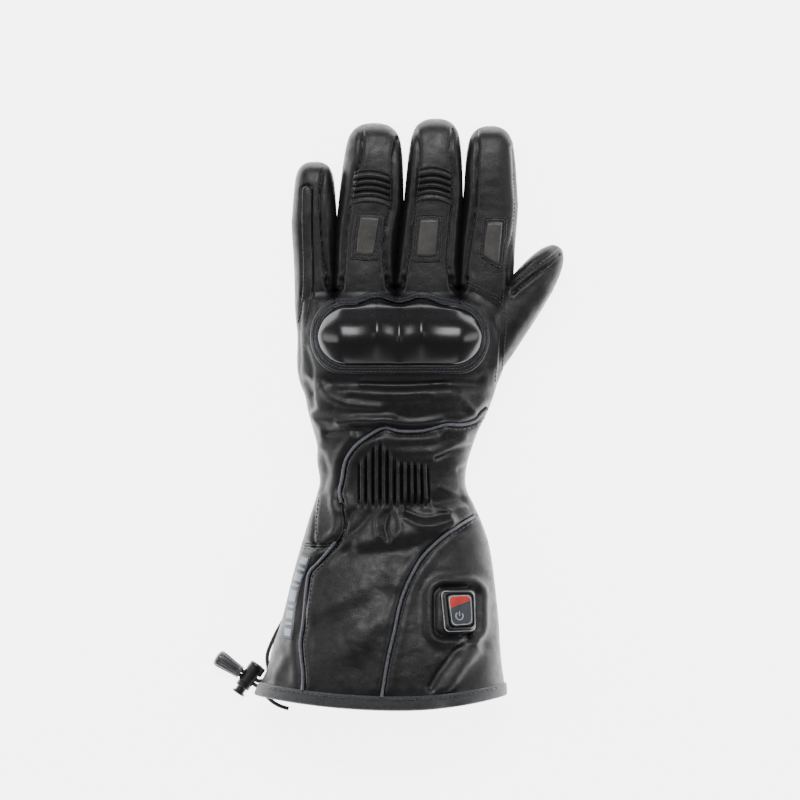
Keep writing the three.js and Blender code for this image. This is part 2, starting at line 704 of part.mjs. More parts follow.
const GUARD_STATIONS = 18;
const GUARD_ROWS = 7;
const GUARD_CORNER = 0.5; // share of the guard's width
const GUARD_CREST = 0.62; // share of the guard's width at which it is highest
const GUARD_FLAT_END = 0.998; // the ends are cut off just before their points

// Knuckle bumps along the guard: place from -1 to 1, rise and bulge of the upper edge as shares.
const KNUCKLES = [
  { at: -0.68, width: 0.2, rise: 0.1, edge: 0.02 },
  { at: -0.28, width: 0.19, rise: 0.34, edge: 0.12 },
  { at: 0.26, width: 0.19, rise: 0.34, edge: 0.12 },
  { at: 0.7, width: 0.22, rise: 0.1, edge: -0.02 },
];

function knuckleSum(place, column) {
  return KNUCKLES.reduce((sum, k) => sum + k[column] * Math.exp(-(((place - k.at) / k.width) ** 2)), 0);
}

/** The guard's lower and upper edge at a place along it from -1 to 1, grown by margin. */
function guardEdges(place, margin) {
  const half = GUARD_LENGTH / 2 + margin;
  const corner = GUARD_CORNER * GUARD_WIDTH;
  const past = Math.max(0, (Math.abs(place) * half - (half - corner)) / corner);
  const round = 1 - Math.sqrt(Math.max(0, 1 - past * past));
  const upper = GUARD_WIDTH * (0.5 + knuckleSum(place, 'edge')) + margin;
  const lower = -GUARD_WIDTH * 0.5 - margin;
  return [mix(lower, (lower + upper) / 2, round), mix(upper, (lower + upper) / 2, round)];
}

const [GUARD_X, GUARD_Y] = planPoint([GUARD_PLACE.across, GUARD_PLACE.along]);

/** Places along the guard from -1 to 1, closer together towards its rounded ends. */
function guardStation(k) {
  return Math.sin((Math.PI / 2) * ((2 * k) / GUARD_STATIONS - 1));
}

function guardOutline(margin) {
  const half = GUARD_LENGTH / 2 + margin;
  const lower = [];
  const upper = [];
  for (let k = 0; k <= GUARD_STATIONS; k++) {
    const place = guardStation(k);
    const [low, high] = guardEdges(place, margin);
    lower.push([GUARD_X + place * half, GUARD_Y + low]);
    if (k > 0 && k < GUARD_STATIONS) upper.unshift([GUARD_X + place * half, GUARD_Y + high]);
  }
  return [...lower, ...upper];
}

/** Height of the leather at [x, y], standing off. */
function backHeight(x, y, off = 0) {
  const along = (FRONT_Y - y) / HAND_LENGTH;
  const s = trunkSection(along);
  return trunkPoint(x / (x < 0 ? s.little : s.thumb), along, off).z;
}

/** How high the guard's face stands at a share of its width, from 0 at the lower edge. */
function guardCrest(share) {
  if (share < GUARD_CREST) return (share / GUARD_CREST) ** 0.75;
  const fall = (share - GUARD_CREST) / (1 - GUARD_CREST);
  return Math.cos(fall * (Math.PI / 2)) ** 0.6;
}

function guardSolid() {
  const upper = [];
  const lower = [];
  for (let i = 0; i <= GUARD_STATIONS; i++) {
    const place = guardStation(i) * GUARD_FLAT_END;
    const [low, high] = guardEdges(place, 0);
    const x = GUARD_X + (place * GUARD_LENGTH) / 2;
    const ends = Math.max(0, 1 - place ** 4) ** 0.25;
    const above = [];
    const below = [];
    for (let j = 0; j <= GUARD_ROWS; j++) {
      const share = j / GUARD_ROWS;
      const y = GUARD_Y + mix(low, high, share);
      const dome = GUARD_RISE * (0.8 + knuckleSum(place, 'rise')) * guardCrest(share) * ends;
      above.push(new THREE.Vector3(x, y, backHeight(x, y) + GUARD_EDGE + dome));
      below.push(new THREE.Vector3(x, y, backHeight(x, y) - WALL));
    }
    upper.push(above);
    lower.push(below);
  }
  return slab(upper, lower).subtract(grownTrunk);
}

/** A flat piece sewn on the back, between two distances off the leather. */
function sewnOn(outline, rise, grown = trunkSolid(GAP + rise), ground = grownTrunk) {
  return prism(outline, SEAM_HEIGHT, HIGH).intersect(grown).subtract(ground);
}

function addGuard() {
  addNode('knuckle_guard', guardSolid(), 'guard');
  const hole = prism(guardOutline(GAP), 0, HIGH);
  addNode('guard_rim', sewnOn(guardOutline(RIM_WIDTH), RIM_RISE).subtract(hole), 'trim');
}

// Finger trim

function fingerPlace(finger, [across, along], off = 0) {
  const s = fingerSection(finger, along);
  const share = Math.min(1, (Math.abs(across) * s.half) / (s.half + off));
  const z = s.belt + (s.top + off - s.belt) * (1 - share ** STALL_SQUARE) ** (1 / STALL_SQUARE);
  return new THREE.Vector3(s.centre + across * s.half, s.y, z);
}

/** Corners moved out from their middle, so that each side moves by the margin. */
function widened(finger, corners, margin) {
  const spots = corners.map((corner) => fingerPlace(finger, corner)).map((p) => [p.x, p.y]);
  const middle = [0, 1].map((axis) => spots.reduce((sum, spot) => sum + spot[axis], 0) / spots.length);
  return spots.map((spot) => spot.map((value, axis) => value + Math.sign(value - middle[axis]) * margin));
}

/** The corners cut off, for a softer outline. */
function rounded(outline, share = 0.18) {
  return outline.flatMap((corner, k) => {
    const before = outline.at(k - 1);
    const after = outline[(k + 1) % outline.length];
    return [before, after].map((other) => corner.map((value, axis) => mix(value, other[axis], share)));
  });
}

function addPatches() {
  for (const patch of PATCHES) {
    const finger = findFinger(patch.name);
    const ground = fingerSolid(finger, GAP);
    const inner = rounded(widened(finger, patch.pad, 0));
    const hole = prism(rounded(widened(finger, patch.pad, GAP)), 0, HIGH);
    const outer = rounded(widened(finger, patch.frame, 0));
    const pad = sewnOn(inner, PATCH_RISE, fingerSolid(finger, GAP + PATCH_RISE), ground);
    const frame = sewnOn(outer, FRAME_RISE, fingerSolid(finger, GAP + FRAME_RISE), ground).subtract(hole);
    addNode(`${patch.name}_pad`, pad, 'trim');
    addNode(`${patch.name}_pad_frame`, frame, 'leather');
  }
}

function addRibs() {
  for (const name of ['ring', 'middle']) {
    const finger = findFinger(name);
    const upper = [];
    const lower = [];
    const steps = 2 * RIBS.count;
    const columns = 6;
    for (let i = 0; i <= steps; i++) {
      const along = mix(RIBS.from, RIBS.to, i / steps);
      const above = [];
      const below = [];
      for (let j = 0; j <= columns; j++) {
        const across = mix(-RIBS.half, RIBS.half, j / columns);
        const sides = 1 - (across / RIBS.half) ** 4;
        const rise = GAP + (i % 2 === 1 ? RIB_RISE * mix(0.5, 1, sides) : RIB_RISE * 0.35);
        above.push(fingerPlace(finger, [across, along], rise));
        below.push(fingerPlace(finger, [across, along], -WALL / 2));
      }
      upper.push(above);
      lower.push(below);
    }
    addNode(`${name}_ribs`, slab(upper, lower).subtract(fingerSolid(finger, GAP)), 'leather');
  }
}

// Piping, binding and label

function addPiping() {
  const off = GAP + PIPING_RADIUS * 0.6;
  const inside = ([across, along]) => Math.abs(across) <= 0.98 && along < 1.94;
  const run = (seam) => seam.filter(inside).map(([across, along]) => trunkPoint(across, along, off));
  const lay = (seam, steps) => bar(run(seam), PIPING_RADIUS, 6, steps).subtract(grownTrunk);
  addNode('upper_piping', lay(UPPER_SEAM, 20), 'piping');
  addNode('side_piping', lay(SIDE_SEAM, 10), 'piping');
  addNode('lower_piping', lay(LOWER_SEAM, 14), 'piping');
}

function addBinding() {
  const outer = trunkSolid(BINDING_ROOM, BINDING_ROOM);
  const mouth = loft([trunkRing(1.7, -WALL, BORE_SIDES), trunkRing(2, -WALL, BORE_SIDES),
    trunkRing(2, -WALL, BORE_SIDES, -3 * WALL)]);
  const edge = [];
  const steps = 8;
  for (let k = 0; k <= steps; k++) {
    const across = mix(-1.1, 1.1, k / steps);
    edge.push([planPoint([across, 2])[0], trunkY(Math.min(1, Math.abs(across)), 2) + BINDING_WIDTH]);
  }
  const round = [[FAR, edge.at(-1)[1]], [FAR, -FAR], [-FAR, -FAR], [-FAR, edge[0][1]]];
  const region = prism([...edge, ...round], 0, HIGH);
  addNode('hem_binding', outer.intersect(region).subtract(grownTrunk).subtract(mouth), 'piping');
}

function addLabel() {
  const run = LABEL_LINE.map(planPoint);
  const outline = [...beside(run, LABEL_WIDTH / 2), ...beside(run, -LABEL_WIDTH / 2).reverse()];
  addNode('side_label', sewnOn(outline, LABEL_RISE), 'label');
}

// Heating button, in its own frame: +Z stands off the cuff

function trapezoid(margin) {
  const corners = [[-0.44, 0.44], [0.46, 0.5], [0.5, -0.42], [-0.3, -0.5]];
  const outline = corners.map(([x, y]) => [
    x * BUTTON_WIDTH + Math.sign(x) * margin, y * BUTTON_LENGTH + Math.sign(y) * margin,
  ]);
  return rounded(rounded(outline, 0.16), 0.3);
}

function addButton() {
  const { across, along } = BUTTON_PLACE;
  const step = 0.03;
  const seat = trunkPoint(across, along);
  const alongX = trunkPoint(across + step, along).sub(trunkPoint(across - step, along));
  const alongY = trunkPoint(across, along - step).sub(trunkPoint(across, along + step));
  const up = new THREE.Vector3().crossVectors(alongX, alongY).normalize();
  const right = new THREE.Vector3(1, 0, 0).addScaledVector(up, -up.x).normalize();
  const turn = new THREE.Matrix4().makeBasis(right, new THREE.Vector3().crossVectors(up, right), up);
  const place = turn.setPosition(seat);
  const seated = (solid) => solid.transform(place.toArray());
  const wellFloor = GAP + BEZEL_FLOOR;
  const underside = wellFloor + GAP + BUTTON_TRAVEL;
  const rimTop = underside + BUTTON_THICKNESS - BUTTON_PROUD;
  const well = prism(trapezoid(CLEARANCE), wellFloor, HIGH);
  const bezel = prism(trapezoid(BUTTON_RIM), -WALL / 2, rimTop).subtract(well);
  addNode('button_bezel', seated(bezel).subtract(grownTrunk), 'plastic');
  const cap = prism(trapezoid(0), underside, underside + BUTTON_THICKNESS);
  addNode('heat_button', seated(cap), 'button');
}

// Drawcord, lock and end piece

/** A turned solid about +X from [along, radius] points that start and end on the axis. */
function turned(profile) {
  const outline = profile.map(([along, radius]) => new THREE.Vector2(radius, along));
  const geometry = new THREE.LatheGeometry(outline, TURNED_SIDES);
  geometry.rotateZ(-Math.PI / 2);
  return toSolid(geometry);
}

function placed(solid, x, y, z, degrees) {
  return solid.rotate([0, 0, degrees]).translate([x, y, z]);
}

const LOCK_Z = LOCK_DIAMETER / 2 - LOCK_FOOT;
const END_TURN = LOCK_TURN - 90;
const END_FROM = LOCK_DIAMETER / 2 + END_STAND; // from the lock's middle line

function lockPoint(along, across) {
  const turn = THREE.MathUtils.degToRad(LOCK_TURN);
  const side = THREE.MathUtils.degToRad(LOCK_TURN - 90);
  return [
    LOCK_PLACE.x + along * Math.cos(turn) + across * Math.cos(side),
    LOCK_PLACE.y + along * Math.sin(turn) + across * Math.sin(side),
  ];
}

function addLock() {
  const slotHalf = (CORD_PITCH + CORD_DIAMETER) / 2 + GAP;
  const slotSide = CORD_DIAMETER / 2 + GAP;
  const radius = LOCK_DIAMETER / 2;
  const bore = radius - LOCK_WALL;
  const half = LOCK_LENGTH / 2;
  const floor = -half + 1.5; // of the barrel's hollow, which is open at the plunger's end
  const past = half + 5;
  const body = turned([
    [-half, 0], [-half, radius - 1], [1 - half, radius],
    [half - 0.6, radius], [half, radius - 0.6], [half, 0],
  ]);
  const ear = box([0.5 - half, radius - 1.5, -radius * 0.6], [6 - half, radius + LOCK_EAR, radius * 0.6]);
  const hollow = turned([[floor, 0], [floor, bore], [past, bore], [past, 0]]);
  const slot = box([SLOT_PLACE - slotHalf, -HIGH, -slotSide], [SLOT_PLACE + slotHalf, HIGH, slotSide]);
  const flat = box([-HIGH, -HIGH, -HIGH], [HIGH, HIGH, -LOCK_Z]);
  const lock = body.add(ear).subtract(hollow).subtract(slot).subtract(flat);
  addNode('cord_lock', placed(lock, LOCK_PLACE.x, LOCK_PLACE.y, LOCK_Z, LOCK_TURN), 'plastic');

  const stem = bore - CLEARANCE;
  const stemStart = SLOT_PLACE - slotHalf - 1.5;
  const capStart = half + PLUNGER_TRAVEL + GAP;
  const capEnd = capStart + PLUNGER_CAP;
  const pin = turned([
    [stemStart, 0], [stemStart, stem], [capStart, stem], [capStart, radius - 0.7],
    [capStart + 0.4, radius - 0.3], [capEnd, radius - 0.6], [capEnd, 0],
  ]);
  const wayEnd = SLOT_PLACE + slotHalf + PLUNGER_TRAVEL;
  const way = box([SLOT_PLACE - slotHalf, -HIGH, -slotSide], [wayEnd, HIGH, slotSide]);
  const plunger = pin.subtract(way);
  addNode('lock_plunger', placed(plunger, LOCK_PLACE.x, LOCK_PLACE.y, LOCK_Z, LOCK_TURN), 'plastic');
}

function addEndPiece() {
  const r = END_DIAMETER / 2;
  const neck = END_NECK / 2;
  const slotHalf = (CORD_PITCH + CORD_DIAMETER) / 2 + GAP;
  const slotSide = CORD_DIAMETER / 2 + GAP + 0.4;
  const bell = turned([
    [0, 0], [0, neck - 0.6], [0.6, neck], [END_LENGTH * 0.55, r * 0.93], [END_LENGTH - 3, r],
    [END_LENGTH - 0.9, r * 0.78], [END_LENGTH, r * 0.35], [END_LENGTH, 0],
  ]);
  const socket = box([-1, -slotHalf, -slotSide], [END_LENGTH * END_SOCKET, slotHalf, slotSide]);
  const foot = box([-HIGH, -HIGH, -HIGH], [HIGH, HIGH, END_FOOT - r]);
  const end = bell.subtract(socket).subtract(foot);
  const [x, y] = lockPoint(SLOT_PLACE, END_FROM);
  addNode('cord_end', placed(end, x, y, r - END_FOOT, END_TURN), 'plastic');
}

/** Both strands run through the lock side by side and end in the end piece's socket. */
function addCords() {
  const radius = LOCK_DIAMETER / 2;
  const depth = END_FROM + END_LENGTH * END_SOCKET - 2 * GAP;
  const through = (shift) => [-radius - GAP, 0, radius, depth].map((across, k) => {
    const [x, y] = lockPoint(SLOT_PLACE + shift, across);
    return new THREE.Vector3(x, y, k < 2 ? LOCK_Z : LOCK_Z + LOCK_FOOT);
  });
  const lay = (route, shift) => {
    const points = [...route.map(([x, y, height]) => new THREE.Vector3(x, y, height)), ...through(shift)];
    return bar(points, CORD_DIAMETER / 2, 8, 18).subtract(grownTrunk);
  };
  addNode('upper_drawcord', lay(UPPER_CORD, -CORD_PITCH / 2), 'cord');
  addNode('lower_drawcord', lay(LOWER_CORD, CORD_PITCH / 2), 'cord');
}

addHand();
addFingers();
addCuff();
addGuard();
addPatches();
addRibs();
addPiping();
addBinding();
addLabel();
addButton();
addLock();
addEndPiece();
addCords();

export default glove;
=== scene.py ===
"""Heated gauntlet glove, left hand, lying palm down. Tables are in millimetres, meshes in metres."""

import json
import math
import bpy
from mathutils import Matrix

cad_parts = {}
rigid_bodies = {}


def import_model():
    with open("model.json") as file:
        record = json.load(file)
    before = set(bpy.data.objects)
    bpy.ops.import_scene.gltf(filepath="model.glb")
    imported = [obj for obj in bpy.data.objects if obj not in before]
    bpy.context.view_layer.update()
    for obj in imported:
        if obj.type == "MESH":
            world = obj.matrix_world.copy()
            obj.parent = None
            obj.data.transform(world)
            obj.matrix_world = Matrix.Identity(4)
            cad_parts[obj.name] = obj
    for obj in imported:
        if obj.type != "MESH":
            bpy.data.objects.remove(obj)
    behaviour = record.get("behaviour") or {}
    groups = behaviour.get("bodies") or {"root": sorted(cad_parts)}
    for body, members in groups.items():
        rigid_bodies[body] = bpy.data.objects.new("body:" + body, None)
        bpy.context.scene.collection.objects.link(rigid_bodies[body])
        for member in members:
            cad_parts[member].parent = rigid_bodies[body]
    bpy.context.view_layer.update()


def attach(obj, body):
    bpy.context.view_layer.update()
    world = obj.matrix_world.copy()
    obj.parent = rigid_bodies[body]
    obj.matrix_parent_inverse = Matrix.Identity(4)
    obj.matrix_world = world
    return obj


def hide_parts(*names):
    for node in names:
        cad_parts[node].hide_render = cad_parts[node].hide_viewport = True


bl_info = {
    "name": "Heated gauntlet glove",
    "version": (1, 0, 0),
    "blender": (4, 5, 0),
    "location": "3D View > Sidebar > Glove",
    "description": "Builds the leather, trim, button and drawcord of a heated gauntlet glove",
    "category": "Add Mesh",
}

import bmesh
import bpy
import numpy as np
from bpy.props import FloatProperty, FloatVectorProperty, IntProperty, PointerProperty
from mathutils import Matrix, Vector, noise
from mathutils.bvhtree import BVHTree

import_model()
MM = 0.001
RAY_FROM = 0.2  # height from which points are let down, in metres

# Sizes shared with the solids
FRONT_Y = 66.0
HAND_LENGTH = 111.5
CUFF_LENGTH = 124.0
WRIST_Y = FRONT_Y - HAND_LENGTH
HEM_DIP = 8.0
HAND_REACH = (61.0, 65.5)  # little finger's side, thumb's side
WRIST_REACH = (46.4, 37.7)
HEM_REACH = (83.0, 60.6)
HAND_HEIGHT = 42.0
WRIST_HEIGHT = 37.0
HEM_HEIGHT = 55.0
SEAM_HEIGHT = 15.0
FINGER_HEIGHT = 28.0
FRONT_HEIGHT = 1.1 * FINGER_HEIGHT
HIGHEST = 0.3  # where the hand is highest
FULL_HEIGHT = 1.95  # where the cuff has its full height
FINGER_SPACING = 0.7
FINGER_PRESS = 0.9  # how far the soft fingers press together
UNDER_SINK = 2.0
UNDER_SQUARE = 3.2
STALL_SQUARE = 2.8
BINDING_ROOM = 1.8
BINDING_WIDTH = 6.0
THUMB_LENGTH = 96.0
THUMB_WIDTH = 27.0
THUMB_HEIGHT = 31.0
THUMB_TIP = (91.8, 88.5)
THUMB_LEAN = math.radians(35)
GUARD_LENGTH = 95.0
GUARD_WIDTH = 35.0
GUARD_RISE = 8.0
GUARD_EDGE = 1.8
GUARD_CREST = 0.62
GUARD_Y = FRONT_Y - 0.262 * HAND_LENGTH
BUTTON_WIDTH = 17.0
BUTTON_LENGTH = 20.0
BUTTON_RIM = 2.6
BUTTON_ACROSS, BUTTON_ALONG = 0.58, 1.6
CORD_DIAMETER = 2.4
CORD_PITCH = 2.7
LOCK_DIAMETER = 8.4
LOCK_LENGTH = 16.4
LOCK_PLACE = (-87.0, -159.6)
LOCK_TURN = math.radians(-123.7)
LOCK_Z = LOCK_DIAMETER / 2 - 0.25
SLOT_PLACE = 1.6
END_LENGTH = 17.0
END_DIAMETER = 10.0
END_FROM = LOCK_DIAMETER / 2 + 1.2
PLUNGER_TRAVEL = 2.6
BUTTON_TRAVEL = 0.8
RIB_REACH = 0.66  # half width of the stretch ribs, as a share of the finger's
LINING_IN = (3.6, 5.5)  # how far the lining lies in from the sides and from the top

# Width rows: along (0 crotches, 1 wrist, 2 hem), spread of the little finger's side and the thumb's
WIDTH_ROWS = [
    (0.0, 1.0, 1.0), (0.14, 0.97, 0.96), (0.26, 0.88, 0.91), (0.38, 0.9, 0.84), (0.45, 0.87, 0.76),
    (0.51, 0.76, 0.66), (0.57, 0.58, 0.59), (0.64, 0.48, 0.48), (0.7, 0.36, 0.37), (0.755, 0.24, 0.26),
    (0.83, 0.1, 0.15), (0.91, 0.1, 0.05), (1.0, 0.0, 0.0), (1.06, 0.03, 0.05), (1.12, 0.09, 0.21),
    (1.19, 0.17, 0.38), (1.28, 0.26, 0.56), (1.38, 0.36, 0.67), (1.48, 0.45, 0.74), (1.58, 0.53, 0.8),
    (1.68, 0.62, 0.85), (1.78, 0.74, 0.88), (1.88, 0.82, 0.93), (1.94, 0.91, 0.98), (2.0, 1.0, 1.0),
]

# Fingers: name, edges at the crotches, edges at mid length, tip (shares of the hand's reach),
# length as a share of the hand's, height as a share of the full one
FINGERS = {
    "little": ((-1.0, -0.62), (-1.03, -0.595), -0.81, 0.645, 0.86),
    "ring": ((-0.62, -0.045), (-0.595, 0.028), -0.245, 0.845, 0.98),
    "middle": ((-0.045, 0.52), (0.028, 0.555), 0.315, 0.868, 1.0),
    "index": ((0.52, 1.0), (0.555, 1.045), 0.8, 0.83, 0.96),
}
# Stall rows: along, half width, height of the back, height of the widest line
FINGER_ROWS = [
    (-0.12, 0.98, 1.06, 0.45), (0.0, 1.0, 1.07, 0.45), (0.2, 1.0, 1.03, 0.45), (0.45, 1.0, 1.0, 0.45),
    (0.62, 0.955, 0.99, 0.45), (0.78, 0.89, 0.95, 0.45), (0.89, 0.8, 0.88, 0.44),
    (0.95, 0.66, 0.78, 0.42), (0.985, 0.45, 0.62, 0.4), (1.0, 0.2, 0.46, 0.36), (1.003, 0.0, 0.34, 0.33),
]
THUMB_ROWS = [
    (1.0, 1.0, 0.98, 0.45), (0.7, 1.03, 1.02, 0.45), (0.45, 0.98, 1.0, 0.45), (0.27, 0.9, 0.93, 0.45),
    (0.15, 0.76, 0.82, 0.42), (0.07, 0.58, 0.68, 0.38), (0.02, 0.34, 0.52, 0.33), (0.0, 0.16, 0.4, 0.3),
    (-0.004, 0.0, 0.3, 0.29),
]

# Seams of the back, as [across, along]
UPPER_SEAM = [
    (1.1, 0.6), (0.97, 0.645), (0.9, 0.7), (0.76, 0.72), (0.57, 0.72), (0.4, 0.74), (0.25, 0.753),
    (0.0, 0.753), (-0.18, 0.735), (-0.36, 0.775), (-0.54, 0.83), (-0.65, 0.9), (-0.71, 0.98),
    (-0.74, 1.05), (-0.69, 1.11),
]
SIDE_LINK = [(-0.69, 1.11), (-0.61, 1.22), (-0.66, 1.29), (-0.81, 1.31), (-1.15, 1.3)]
SIDE_SEAM = [
    (-0.66, 1.29), (-0.78, 1.38), (-0.85, 1.43), (-0.85, 1.5), (-0.82, 1.65), (-0.8, 1.74), (-0.76, 1.82),
    (-0.68, 2.0), (-0.66, 2.1),
]
LOWER_SEAM = [
    (1.15, 1.13), (1.0, 1.165), (0.75, 1.21), (0.52, 1.26), (0.33, 1.32), (0.2, 1.38), (0.08, 1.47),
    (0.0, 1.56), (-0.05, 1.68), (-0.1, 1.81), (-0.13, 1.94), (-0.14, 2.1),
]
LABEL_LINE = [(-0.915, 1.35), (-0.945, 1.55), (-0.905, 1.74)]

# Seams between each finger's back and its side strips, as [across, along] of the finger
FINGER_SEAMS = {
    "little": [
        [(0.78, -0.01), (0.62, 0.1), (0.46, 0.2), (0.3, 0.5), (0.28, 0.75), (0.5, 0.92), (0.7, 0.975)]
    ],
    "ring": [
        [
            (-0.78, -0.01), (-0.74, 0.12), (-0.72, 0.27), (-0.65, 0.45), (-0.57, 0.65), (-0.43, 0.8),
            (-0.5, 0.93), (-0.75, 0.975),
        ],
        [
            (0.78, -0.01), (0.7, 0.08), (0.62, 0.14), (0.55, 0.3), (0.63, 0.46), (0.67, 0.65),
            (0.72, 0.8), (0.9, 0.9),
        ],
    ],
    "middle": [
        [
            (-0.78, -0.01), (-0.73, 0.1), (-0.67, 0.23), (-0.64, 0.5), (-0.61, 0.67), (-0.7, 0.84),
            (-0.95, 0.93),
        ],
        [
            (0.78, -0.01), (0.68, 0.09), (0.63, 0.13), (0.65, 0.27), (0.67, 0.47), (0.72, 0.64),
            (0.6, 0.82), (0.82, 0.93),
        ],
    ],
    "index": [
        [
            (-0.78, -0.01), (-0.78, 0.1), (-0.72, 0.25), (-0.54, 0.53), (-0.58, 0.75),
            (-0.62, 0.88), (-0.84, 0.96),
        ],
        [(0.83, -0.01), (0.81, 0.2), (0.93, 0.35), (0.95, 0.7), (0.97, 0.86)],
    ],
}
PATCHES = {
    "ring": (
        [(-0.34, 0.19), (0.24, 0.18), (0.32, 0.42), (-0.28, 0.43)],
        [(-0.56, 0.15), (0.46, 0.14), (0.54, 0.44), (-0.5, 0.45)],
    ),
    "middle": (
        [(-0.38, 0.17), (0.24, 0.17), (0.24, 0.4), (-0.38, 0.4)],
        [(-0.6, 0.13), (0.44, 0.13), (0.44, 0.425), (-0.6, 0.425)],
    ),
    "index": (
        [(-0.17, 0.18), (0.45, 0.12), (0.48, 0.4), (-0.09, 0.4)],
        [(-0.3, 0.17), (0.55, 0.08), (0.7, 0.43), (-0.16, 0.43)],
    ),
}

# Broad folds: start and end as [across, along], width and rise as shares of the hand's height
FOLDS = [
    ((-0.55, 0.1), (0.5, 0.1), 0.1, 0.04), ((-0.7, 0.505), (0.8, 0.505), 0.1, -0.05),
    ((-0.85, 0.6), (0.6, 0.575), 0.14, 0.04), ((-0.9, 0.69), (-0.1, 0.71), 0.1, 0.05),
    ((-0.5, 0.76), (0.5, 0.75), 0.08, -0.06), ((-0.95, 0.5), (-0.95, 0.62), 0.08, -0.06),
    ((0.1, 1.13), (0.9, 1.1), 0.1, -0.06), ((-0.4, 1.3), (0.6, 1.19), 0.14, 0.06),
    ((-0.7, 1.33), (0.2, 1.33), 0.12, -0.04), ((0.45, 2.0), (0.85, 1.78), 0.14, -0.05),
    ((-0.75, 1.6), (-0.35, 1.5), 0.16, 0.04), ((-0.35, 1.75), (-0.15, 1.62), 0.14, 0.04),
]
# Small folds and creases of the back: points [x, y], rise (a crease's is negative) and width, in mm
CREASES = [
    ([(-23, 9.3), (0, 8.4), (27, 9.9)], -1.3, 1.7),
    ([(-28, 1.2), (-9, -0.6), (15, 0.6)], -0.8, 2.4),
    ([(-35, 5.2), (0, 4.1), (29, 5.8)], 0.7, 2.4),
    ([(-45, 8.7), (-39, 1.7), (-29, -2.9), (-12, -4.6)], 0.9, 2.4),
    ([(-34, -13.9), (-20, -11.3), (-7, -11), (6, -13.9), (23, -12.2)], 1.1, 2.6),
    ([(-42, -18.6), (-32, -17.4), (-20, -16), (-9, -15.7)], -1.3, 1.9),
    ([(-26, 58), (-14, 59.7), (-3, 58.6), (7, 60), (20, 58)], -1.2, 1.9),
    ([(21, -33.6), (29, -30.2), (40, -26.7), (46, -27.3)], -1.4, 1.4),
    ([(18, -30.5), (27, -26.5), (37, -22.5)], 0.8, 2.6),
    ([(23, -50), (32, -54), (41, -56.3)], 0.6, 1.3),
    ([(34, -40), (43, -36)], -0.7, 1.3),
    ([(-10, -62.6), (-13.3, -69.6), (-12.2, -78.3)], 1.3, 1.7),
    ([(-7, -65), (-8.7, -73), (-7, -80)], -1.5, 1.6),
    ([(-1.7, -65), (0, -74.2), (-4.6, -84)], 0.8, 1.9),
    ([(3, -67.9), (10.4, -71.9), (18.6, -72.5), (27.8, -69)], 1.2, 1.8),
    ([(4, -64.4), (14.5, -67.6), (26, -65.7)], -1.3, 1.6),
    ([(16.2, -57), (19.7, -61.5), (29, -63.4), (38, -61.5)], 1.1, 1.5),
    ([(10, -84), (17.4, -80), (26, -76)], -0.9, 2.6),
    ([(-18, -66), (-24, -74), (-33, -80)], -0.8, 2.2),
    ([(-27, -64), (-31, -72), (-36, -77)], -0.7, 1.6),
    ([(-4, -106), (-3, -92)], 1.0, 5.0),
    ([(-30, -136), (-25, -131)], 1.2, 5.0),
    ([(18, -165), (23, -156.6), (33, -144.4), (41, -137)], -2.3, 2.4),
    ([(27, -168), (35, -155.4), (45, -143.8)], 2.0, 4.2),
    ([(-48, 60), (-47, 50), (-52, 40)], 0.6, 2.5),
    ([(52, 44), (56, 34), (55, 20)], 0.9, 3.0),
    ([(-55, 30), (-51, 16), (-52, 4)], -0.8, 1.8),
    ([(-50, -8), (-45, -18), (-46, -28)], 0.9, 2.6),
    ([(-46, -30), (-43, -40), (-45, -52)], -0.9, 2.2),
    ([(38, -2), (44, -10), (45, -18)], 0.8, 2.6),
    ([(-66, -150), (-71, -158), (-72, -164)], 1.3, 3.0),
]
PLEAT_FROM, PLEAT_TO = -23.8, 17.4  # x of the first gap and the last
PLEAT_COUNT = 10
PLEAT_TOP, PLEAT_PEAK, PLEAT_END = -34.5, -20.5, -62.0  # y of the gaps' ends
PLEAT_DEPTH, PLEAT_GAP = 2.3, 0.62

# The drawcord's route, as in the solids
UPPER_CORD = [
    (-65.5, -124.0, 5.0), (-68.6, -129.5, 3.6), (-71.2, -134.0, 2.0), (-73.4, -138.5, 1.3),
    (-75.4, -143.0, 1.25), (-76.8, -147.2, 1.25), (-77.0, -151.2, 1.4), (-76.4, -155.2, 2.0),
    (-76.5, -159.0, 2.7), (-78.3, -162.0, 3.4), (-80.9, -162.9, 3.8),
]
LOWER_CORD = [
    (-64.5, -179.0, 1.25), (-69.0, -177.6, 1.25), (-73.2, -175.4, 1.25), (-76.6, -172.4, 1.5),
    (-79.2, -169.4, 2.6), (-81.6, -166.8, 3.5),
]


# Curves and sections


def mix(a, b, share):
    """Between a and b, at a share of the way."""
    return a + (b - a) * share


def smooth_step(share):
    """Rises from 0 to 1 with level ends."""
    s = np.clip(share, 0.0, 1.0)
    return s * s * (3 - 2 * s)


def power(value, exponent):
    """A power that keeps the sign."""
    return np.sign(value) * np.abs(value) ** exponent


def curve_through(points, steps=8):
    """A smooth line through the points."""
    p = np.asarray(points, float)
    p = np.vstack([2 * p[0] - p[1], p, 2 * p[-1] - p[-2]])
    t = np.linspace(0, 1, steps, endpoint=False)[:, None]
    runs = []
    for a, b, c, d in zip(p, p[1:], p[2:], p[3:]):
        bend, twist = 2 * a - 5 * b + 4 * c - d, 3 * b - a - 3 * c + d
        runs.append(0.5 * (2 * b + (c - a) * t + bend * t**2 + twist * t**3))
    return np.vstack(runs + [p[-2:-1]])


def spaced(points, step):
    """The line again, with points a step apart."""
    p = np.asarray(points, float)
    run = np.concatenate([[0], np.cumsum(np.linalg.norm(np.diff(p, axis=0), axis=1))])
    places = np.linspace(0, run[-1], max(2, int(round(run[-1] / step)) + 1))
    return np.column_stack([np.interp(places, run, p[:, k]) for k in range(p.shape[1])])


